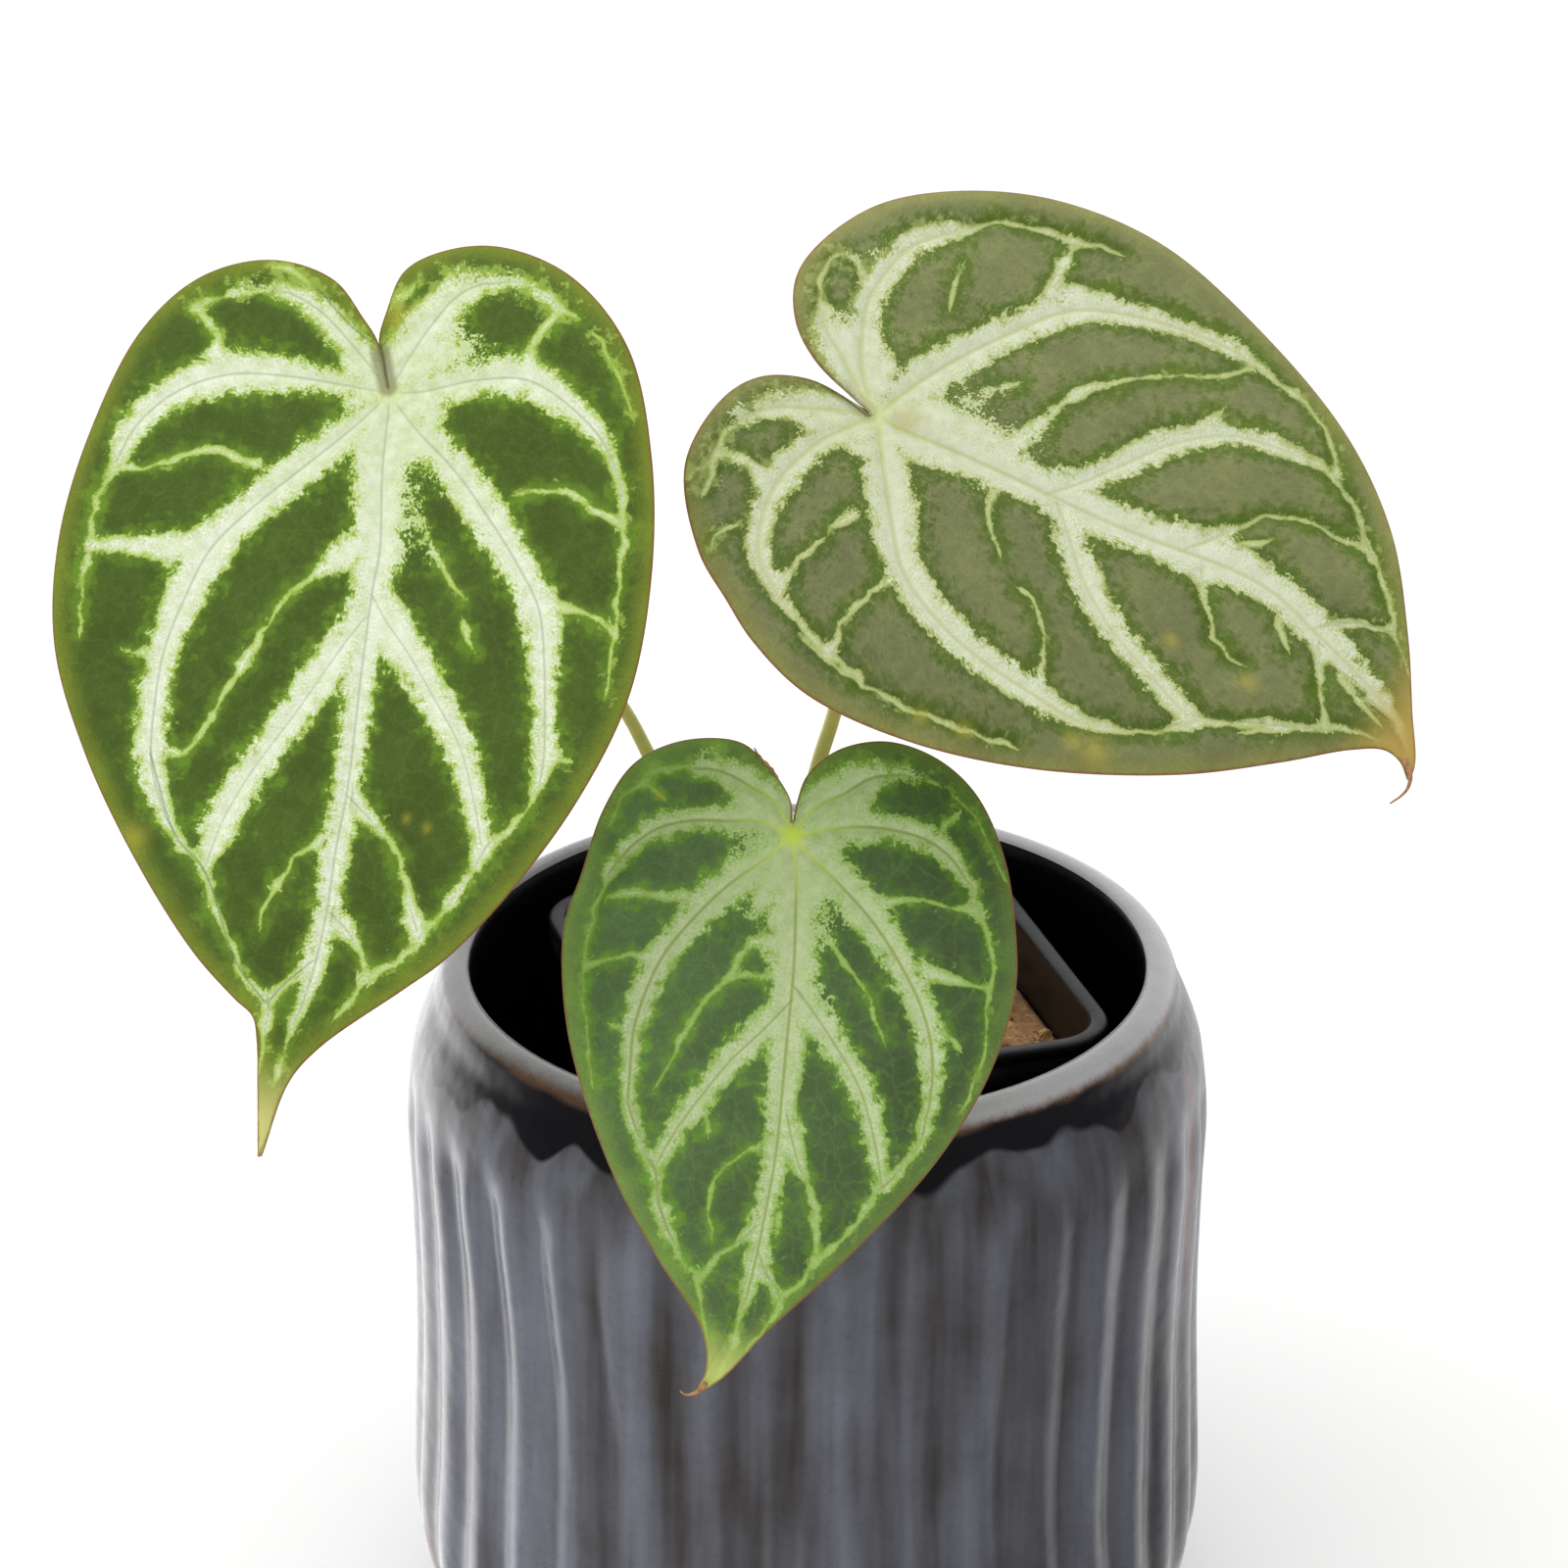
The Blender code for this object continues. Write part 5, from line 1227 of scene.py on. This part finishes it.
    # Lime flecks beside the silver, fewer further off, and more on the lobes and near the margin
    fleck = add("Math ADD", lobes, tufts)
    fleck = add("Math MULTIPLY_ADD", band, -0.09, fleck)
    for source, low, high, more in ((y, -16.0, 2.0, 0.13), (margin, 1.5, 8.0, 0.08)):
        extra = add("MapRange", source, low, high, more, 0.0)
        fleck = add("Math ADD", fleck, extra)
    fleck = add("MapRange SMOOTHSTEP", fleck, 1.05, 1.2, 0.0, look["flecks"])
    green = add("Mix RGBA", fleck, green, tone["fringe"])
    # Silver: clear in the middle of a band, grainy with green towards its fringe, greener in some places and near
    # the base, and limier in thin veins
    grains = add("MapRange", grain, 0.4, 0.62)
    rim_of_band = add("MapRange", band, -3.0, -0.2, 0.12, 0.75)
    green_grains = add("Math MULTIPLY", grains, rim_of_band)
    silver = add("Mix RGBA", green_grains, tone["silver"], tone["fringe"])
    greener = add("MapRange", lobes, 0.4, 0.6, 0.0, look["greener"])
    inner = add("MapRange", from_base, 6.0, 30.0, look["greener"], 0.0)
    greener = add("Math ADD", greener, inner)
    silver = add("Mix RGBA", greener, silver, tone["fringe"])
    shimmer = add("MapRange", tufts, 0.3, 0.7, 0.88, 1.07)
    silver = add("VectorMath SCALE", silver, shimmer)
    to_fringe = add("MapRange SMOOTHSTEP", band, -1.1, 0.15)
    thin = add("MapRange", width, 0.1, 0.6, 0.7, 0.0)
    mixed = add("Math MULTIPLY", speckled, 0.45)
    for greening in (thin, mixed):
        to_fringe = add("Math MAXIMUM", to_fringe, greening)
    silver = add("Mix RGBA", to_fringe, silver, tone["fringe"])
    to_green = add("MapRange SMOOTHSTEP", band, -0.1, 0.3)
    # Vein lines, only inside the bands, so that none shows midway between two veins, and fading at the base
    close = add("MapRange", near, 0.5, 1.1, 1.0, 0.0)
    in_band = add("MapRange", plain_band, -0.9, -0.2, 1.0, 0.0)
    off_base = add("MapRange", from_base, 0.9, 2.4)
    gate = add("Math MULTIPLY", close, in_band)
    gate = add("Math MULTIPLY", gate, off_base)
    out = add("MapRange", from_base, 2.5, 12.0, 1 - look["star"], 1.0)
    line_tone = add("Mix RGBA", out, settings.base, tone["line"])
    layers = [(to_green, green)]
    half_line = settings.line_width * look["wide"]
    for signed, low, high, strength, where, tint in (
            (main, half_line * 0.3, half_line * 1.6, look["line"], gate, line_tone),
            (branch, half_line * 0.24, half_line * 1.28, 0.8 * look["line"], gate, line_tone),
            (crease, 0.05, 0.3, look["crease"], close, settings.dark_line)):
        distance = add("Math ABSOLUTE", signed)
        line = add("MapRange SMOOTHSTEP", distance, low, high, strength, 0.0)
        layers.append((add("Math MULTIPLY", line, where), tint))
    # Yellow green where the veins meet, painted shade between the lobes near the base where they fold back, yellowed
    # spots, the tip, and the brown line along the margin
    star = add("MapRange SMOOTHSTEP", from_base, 0.3, 3.0, look["star"], 0.0)
    seam_side = add("MapRange SMOOTHSTEP", margin, 0.9, 2.0, look["seam"], 0.0)
    seam_end = add("MapRange SMOOTHSTEP", from_base, 6.5, 9.0, 1.0, 0.0)
    seam = add("Math MULTIPLY", seam_side, seam_end)
    spot = add("Math MULTIPLY", spotted, 0.5)
    rim_edge = add("Math MULTIPLY_ADD", tufts, 0.5, margin)
    rim = add("MapRange SMOOTHSTEP", rim_edge, settings.rim_width * 0.9, settings.rim_width * 2.2, 0.8, 0.0)
    unseamed = add("Math MULTIPLY_ADD", seam_end, -look["seam"], 1.0)
    rim = add("Math MULTIPLY", rim, unseamed)
    layers += [(star, settings.base), (seam, settings.seam), (spot, settings.spot), (tip, tone["tip"]),
               (rim, settings.rim)]
    surface = silver
    for mask, tint in layers:
        surface = add("Mix RGBA", mask, surface, tint)
    bump = add("Bump", 0.3, 0.0002, None, grain)
    return finished(made, Base_Color=surface, Normal=bump, Roughness=0.5, Specular_IOR_Level=look["gloss"])


def underside_material(settings):
    """Leaf, underside: pale, dull green with raised, paler veins."""
    made, add = new_material("leaf underside")
    vein, place = (add("Attribute", attribute_name=key).outputs["Vector"] for key in ("vein", "place"))
    band, near, _ = add("SeparateXYZ", vein).outputs
    grain = add("TexNoise", place, 0.9, 5.0, 0.6)
    raised = add("MapRange SMOOTHSTEP", near, 0.4, 1.6, 1.0, 0.0)
    silvered = add("MapRange", band, -1.0, 1.5, 0.35, 0.0)
    most = add("Math MAXIMUM", raised, silvered)
    colour = add("Mix RGBA", most, settings.underside, settings.underside_vein)
    shade = add("MapRange", grain, 0.3, 0.7, 0.88, 1.1)
    colour = add("VectorMath SCALE", colour, shade)
    bump = add("Bump", 0.25, 0.0003, None, grain)
    return finished(made, Base_Color=colour, Normal=bump, Roughness=0.6, Specular_IOR_Level=0.35)


def dry_material(settings):
    """Dead leaf edge: dry, brown and papery."""
    made, add = new_material("dry leaf edge")
    noise = add("TexNoise", add("TexCoord").outputs["Object"], 1400.0, 3.0)
    shade = add("MapRange", noise, 0.3, 0.7, 0.6, 1.35)
    colour = add("VectorMath SCALE", settings.dry[:3], shade)
    return finished(made, Base_Color=colour, Roughness=0.8)


def ring_shares(rings):
    """Shares of the way from the base to the margin, a little closer together far out."""
    even = np.linspace(0, 1, rings + 1)[1:]
    return np.concatenate([even[:-1] ** 0.85, [0.994, 0.9985]])


def blade_rings(blade, shares, outline, turns):
    """Flat places, and shares and turns, of rings that shrink towards the base in a space that follows the
    midrib: x = offset share + midrib(y), y = outline y share."""
    offset = outline[:, 0] - midrib_x(blade, outline[:, 1])
    y = outline[None, :, 1] * shares[:, None]
    x = offset[None] * shares[:, None] + midrib_x(blade, y)
    flat = np.vstack([[(0.0, 0.0)], np.stack([x, y], axis=-1).reshape(-1, 2)])
    return flat, np.append(0.0, np.repeat(shares, len(turns))), np.append(0.0, np.tile(turns, len(shares)))


def near_zones(flat, zones):
    """How deep each point lies in the nearest of the round zones, by a bell curve."""
    x, y, radius = zones.T[:, :, None]
    return np.exp(-((flat[:, 0] - x) ** 2 + (flat[:, 1] - y) ** 2) / radius ** 2).max(axis=0)


def build_leaf(settings, side, under):
    """A closed blade: an upper face of fine rings, sunk along its veins and puffed between them, a coarser
    underside with raised veins, and a rounded edge between the two."""
    blade = BLADES[side]
    normal = blade_frame(blade)[3]
    half = settings.turns // 2
    outline = np.vstack([smooth_curve(blade["left_margin"], half), smooth_curve(blade["right_margin"], half)[::-1]])
    count = len(outline)
    turns = 2 * np.pi * np.arange(count) / count
    length = outline[:, 1].max()
    points, quads, triangles, fields = [], [], [], []
    # The upper face and then the underside: which way it lies from the middle of the blade, its rings, how far
    # its veins sink or stand out, and how much further the midrib does
    for out, rings, groove, deeper in ((1, settings.rings, settings.channel, 1.1),
                                       (-1, settings.under_rings, settings.ridge, 1.2)):
        shares = ring_shares(rings)
        flat, share, turn = blade_rings(blade, shares, outline, turns)
        band, lines, near, web = vein_fields(VEINS[side], flat)
        edge = margin_distance(flat, outline)
        from_base = np.hypot(flat[:, 0], flat[:, 1])
        inward = rise(edge, 0.0, 3.0) * rise(from_base, 0.5, 4.0)
        puffed = settings.quilting * blade["puffs"] * (1 - np.exp(-np.maximum(near, 0) / PUFF_REACH)) * inward
        strong = np.exp(-from_base / VALLEY_FADE)
        valley = np.exp(-(near / VALLEY_WIDTH) ** 2) * (0.4 + 0.6 * strong) * inward
        off_midrib = flat[:, 0] - midrib_x(blade, flat[:, 1])
        midrib = np.exp(-(off_midrib / MIDRIB_WIDTH) ** 2) * strong * rise(flat[:, 1], 0.0, 4.0)
        lift = out * settings.thickness / 2 * np.sqrt(np.clip(edge / MARGIN_ROUNDING, 0.02, 1))
        off = puffed - groove * (valley + deeper * midrib) + lift
        first = sum(map(len, points))
        points.append(on_blade(blade, flat, length, share, turn) + off[:, None] * normal)
        triangles.append(fan_faces(first, first + 1, count, flip=out > 0))
        quads.append(grid_faces(len(shares), count, first + 1)[:, ::out])
        fields.append((np.column_stack([flat, edge]), np.column_stack([band, near, near_zones(flat, SPOTS[side])]),
                       lines, web, near_zones(flat, SPECKLES[side])))
    # The rounded edge, a ring on the outline itself, which counts as far from every vein
    rim_first = sum(map(len, points))
    points.append(on_blade(blade, outline, length, 1.0, turns))
    fields.append([np.column_stack([outline, np.zeros(count)])]
                  + [np.tile(row, (count, 1)) for row in ((3.0, 9.0, 0.0), (9.0, 9.0, 9.0), (0.0, 9.0, 1.0))]
                  + [np.zeros(count)])
    i = np.arange(count)
    j = np.roll(i, -1)
    for upper, lower in ((len(points[0]) - count, rim_first), (rim_first, rim_first - count)):
        quads.insert(-1, np.stack([upper + j, lower + j, lower + i, upper + i], axis=1))
    kinds = [0, 0, 1, 1, 0, 1]  # the material of the upper face or of the underside, for each group of faces
    attributes = {key: np.concatenate(parts)
                  for key, parts in zip(("place", "vein", "lines", "web", "speckled"), zip(*fields))}
    tip_start, tip_end = TIP_ZONE
    attributes["tip"] = rise(attributes["place"][:, 1], length * tip_start, length * tip_end) * TIP_STRENGTH
    new_piece(f"leaf_{side}", np.vstack(points), [np.vstack(quads), np.vstack(triangles)],
              [leaf_material(settings, side), under], attributes,
              np.repeat(kinds, [len(group) for group in quads + triangles]), slot="leaf", replaced=[f"blade_{side}"])


def dry_bit(name, side, points, radii, around, flatten, lift, finish):
    """A thin flattened tube on a blade, along given points."""
    blade = BLADES[side]
    length = max(blade["left_margin"][:, 1].max(), blade["right_margin"][:, 1].max())
    normal = blade_frame(blade)[3]
    path = on_blade(blade, smooth_curve(points, len(radii)), length) + lift * normal
    new_piece(name, *tube(path, radii, around, flatten, normal), [finish], slot="leaf")


def build_dry_bits(settings):
    """The dry hooks at two tips, which taper to their ends, and the torn edge of the centre blade."""
    finish = dry_material(settings)
    start, end = HOOK_RADIUS
    for side, points in HOOKS.items():
        radii = start + (end - start) * np.linspace(0, 1, 40) ** 0.7
        dry_bit(f"dry_tip_{side}", side, points, radii, 16, 0.55, 0.0, finish)
    share = np.linspace(0, 1, 50)
    radii = TEAR_WIDTH / 2 * np.sin(np.pi * (share * 0.94 + 0.04)) ** 0.5 * (1 + 0.25 * np.sin(share * 31))
    dry_bit("torn_edge", "centre", TEAR, radii, 14, 0.5, 0.15, finish)


def build_stage(settings):
    """A wide white floor, a sky that is bright all round but for the dark room in front, and the camera."""
    rings = turned_grid(0.0, np.array(FLOOR_RINGS)[:, None], round_angles(FLOOR_POINTS))
    points = np.vstack([rings.reshape(-1, 3), (0, 0, 0)]) * MM
    faces = [*grid_faces(len(rings), FLOOR_POINTS).tolist(),
             *fan_faces(len(points) - 1, 0, FLOOR_POINTS).tolist()]
    mesh = bpy.data.meshes.new("studio_floor")
    mesh.from_pydata(points.tolist(), [], faces)
    made, add = new_material("matt white studio floor")
    clouds = add("TexNoise", add("TexCoord").outputs["Object"], 3.0, 2.0)
    shade = add("MapRange", clouds, 0.0, 1.0, 0.98, 1.0)
    colour = add("VectorMath SCALE", settings.floor[:3], shade)
    mesh.materials.append(finished(made, Base_Color=colour, Roughness=0.9, Specular_IOR_Level=0.2,
                                   Emission_Color=(1, 1, 1, 1), Emission_Strength=settings.floor_glow))
    floor = new_object("studio_floor", mesh)
    floor.visible_glossy = False

    scene = bpy.context.scene
    scene.world = bpy.data.worlds.new("studio")
    scene.world.use_nodes = True
    tree = scene.world.node_tree
    add = partial(add_node, tree)
    right, back, up = add("SeparateXYZ", add("TexCoord").outputs["Generated"]).outputs
    path = add("LightPath").outputs
    # Matt surfaces are lit by a white room, a little brighter on the left and overhead. Glossy ones mirror white
    # panels low down on both sides, and above those a dark room ahead, a white wall behind and a white ceiling.
    # Each line makes one part of the room, and blends from one part or brightness to another: by what, and where
    # that starts and ends.
    edge, dark = settings.panel_edge, settings.dark_room
    parts = {"sides_lit": add("MapRange", right, -0.8, 0.8, settings.left_light, settings.right_light),
             "panels": add("MapRange", right, -0.2, 0.2, settings.left_panel, settings.right_panel)}
    for name, value, start, end, first, second in (
            ("lit", up, 0.3, 1.0, "sides_lit", settings.top_light),
            ("low", back, edge - 0.3, edge + 0.3, dark, "panels"),
            ("high", back, 0.42, 0.75, dark, settings.back_wall),
            ("sides", up, -0.12, 0.06, "low", "high"),
            ("mirrored", up, 0.7, 0.93, "sides", settings.ceiling),
            ("shown", path["Is Glossy Ray"], 0.0, 1.0, "lit", "mirrored"),
            ("seen", path["Is Camera Ray"], 0.0, 1.0, "shown", 1.0)):
        share = add("MapRange SMOOTHSTEP", value, start, end)
        parts[name] = add("Mix FLOAT", share, parts.get(first, first), parts.get(second, second))
    background = tree.nodes["Background"].inputs
    feed(background["Color"], (1.0, 1.0, 1.0, 1.0))
    feed(background["Strength"], parts["seen"])

    lamp = bpy.data.lights.new("overhead_softbox", "AREA")
    lamp.energy = settings.key
    lamp.size = LAMP_SIZE
    over = new_object("overhead_softbox", lamp)
    over.location = LAMP_AT
    over.rotation_euler = (Vector(LAMP_AIM) - over.location).to_track_quat("-Z", "Y").to_euler()
    over.visible_glossy = False

    lens = bpy.data.cameras.new("view")
    lens.sensor_width, lens.lens = CAMERA_SENSOR, CAMERA_LENS
    lens.clip_start, lens.clip_end = CAMERA_CLIP
    scene.camera = new_object("view", lens)
    scene.camera.location = Vector(CAMERA_AT) * MM
    scene.camera.rotation_euler = (math.radians(90 - CAMERA_PITCH), 0, 0)
    scene.view_settings.view_transform = "Standard"


class ANTHURIUM_OT_cover_pot(bpy.types.Operator):
    """Builds the ribbed and glazed cover pot"""
    bl_idname = "anthurium.cover_pot"
    bl_label = "Cover pot"

    def execute(self, context):
        build_cover_pot(context.scene.anthurium_glaze)
        return {"FINISHED"}


class ANTHURIUM_OT_nursery_pot(bpy.types.Operator):
    """Builds the square nursery pot"""
    bl_idname = "anthurium.nursery_pot"
    bl_label = "Nursery pot"

    def execute(self, context):
        build_nursery_pot(context.scene.anthurium_plastic)
        return {"FINISHED"}


class ANTHURIUM_OT_mix(bpy.types.Operator):
    """Builds the potting mix with its bark chips"""
    bl_idname = "anthurium.mix"
    bl_label = "Potting mix"

    def execute(self, context):
        build_mix(context.scene.anthurium_bark)
        return {"FINISHED"}


class ANTHURIUM_OT_stems(bpy.types.Operator):
    """Builds the crown and the petioles"""
    bl_idname = "anthurium.stems"
    bl_label = "Crown and petioles"

    def execute(self, context):
        build_crown(context.scene.anthurium_stem)
        build_petioles(context.scene.anthurium_stem)
        return {"FINISHED"}


class ANTHURIUM_OT_leaves(bpy.types.Operator):
    """Builds the three blades, with their dry hooks and the torn edge"""
    bl_idname = "anthurium.leaves"
    bl_label = "Leaves"

    def execute(self, context):
        settings = context.scene.anthurium_leaf
        under = underside_material(settings)
        for side in BLADES:
            build_leaf(settings, side, under)
        build_dry_bits(settings)
        return {"FINISHED"}


class ANTHURIUM_OT_stage(bpy.types.Operator):
    """Builds the floor, the light and the camera"""
    bl_idname = "anthurium.stage"
    bl_label = "Stage"

    def execute(self, context):
        build_stage(context.scene.anthurium_stage)
        return {"FINISHED"}


STEPS = (
    ANTHURIUM_OT_stage, ANTHURIUM_OT_cover_pot, ANTHURIUM_OT_nursery_pot, ANTHURIUM_OT_mix, ANTHURIUM_OT_stems,
    ANTHURIUM_OT_leaves,
)


class ANTHURIUM_PT_panel(bpy.types.Panel):
    """Lists the steps"""
    bl_idname = "ANTHURIUM_PT_panel"
    bl_label = "Potted anthurium"
    bl_space_type = "VIEW_3D"
    bl_region_type = "UI"
    bl_category = "Anthurium"

    def draw(self, context):
        for step in STEPS:
            self.layout.operator(step.bl_idname)


SETTINGS = {
    "anthurium_glaze": GlazeSettings, "anthurium_plastic": PlasticSettings, "anthurium_bark": BarkSettings,
    "anthurium_stem": StemSettings, "anthurium_leaf": LeafSettings, "anthurium_stage": StageSettings,
}


def register():
    for group in SETTINGS.values():
        bpy.utils.register_class(group)
    for name, group in SETTINGS.items():
        setattr(bpy.types.Scene, name, PointerProperty(type=group))
    for step in STEPS:
        bpy.utils.register_class(step)
    bpy.utils.register_class(ANTHURIUM_PT_panel)


def unregister():
    bpy.utils.unregister_class(ANTHURIUM_PT_panel)
    for step in reversed(STEPS):
        bpy.utils.unregister_class(step)
    for name, group in reversed(SETTINGS.items()):
        delattr(bpy.types.Scene, name)
        bpy.utils.unregister_class(group)


def main():
    register()
    bpy.ops.anthurium.stage()
    bpy.ops.anthurium.cover_pot()
    bpy.ops.anthurium.nursery_pot()
    bpy.ops.anthurium.mix()
    bpy.ops.anthurium.stems()
    bpy.ops.anthurium.leaves()
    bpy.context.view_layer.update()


if __name__ == "__main__":
    main()
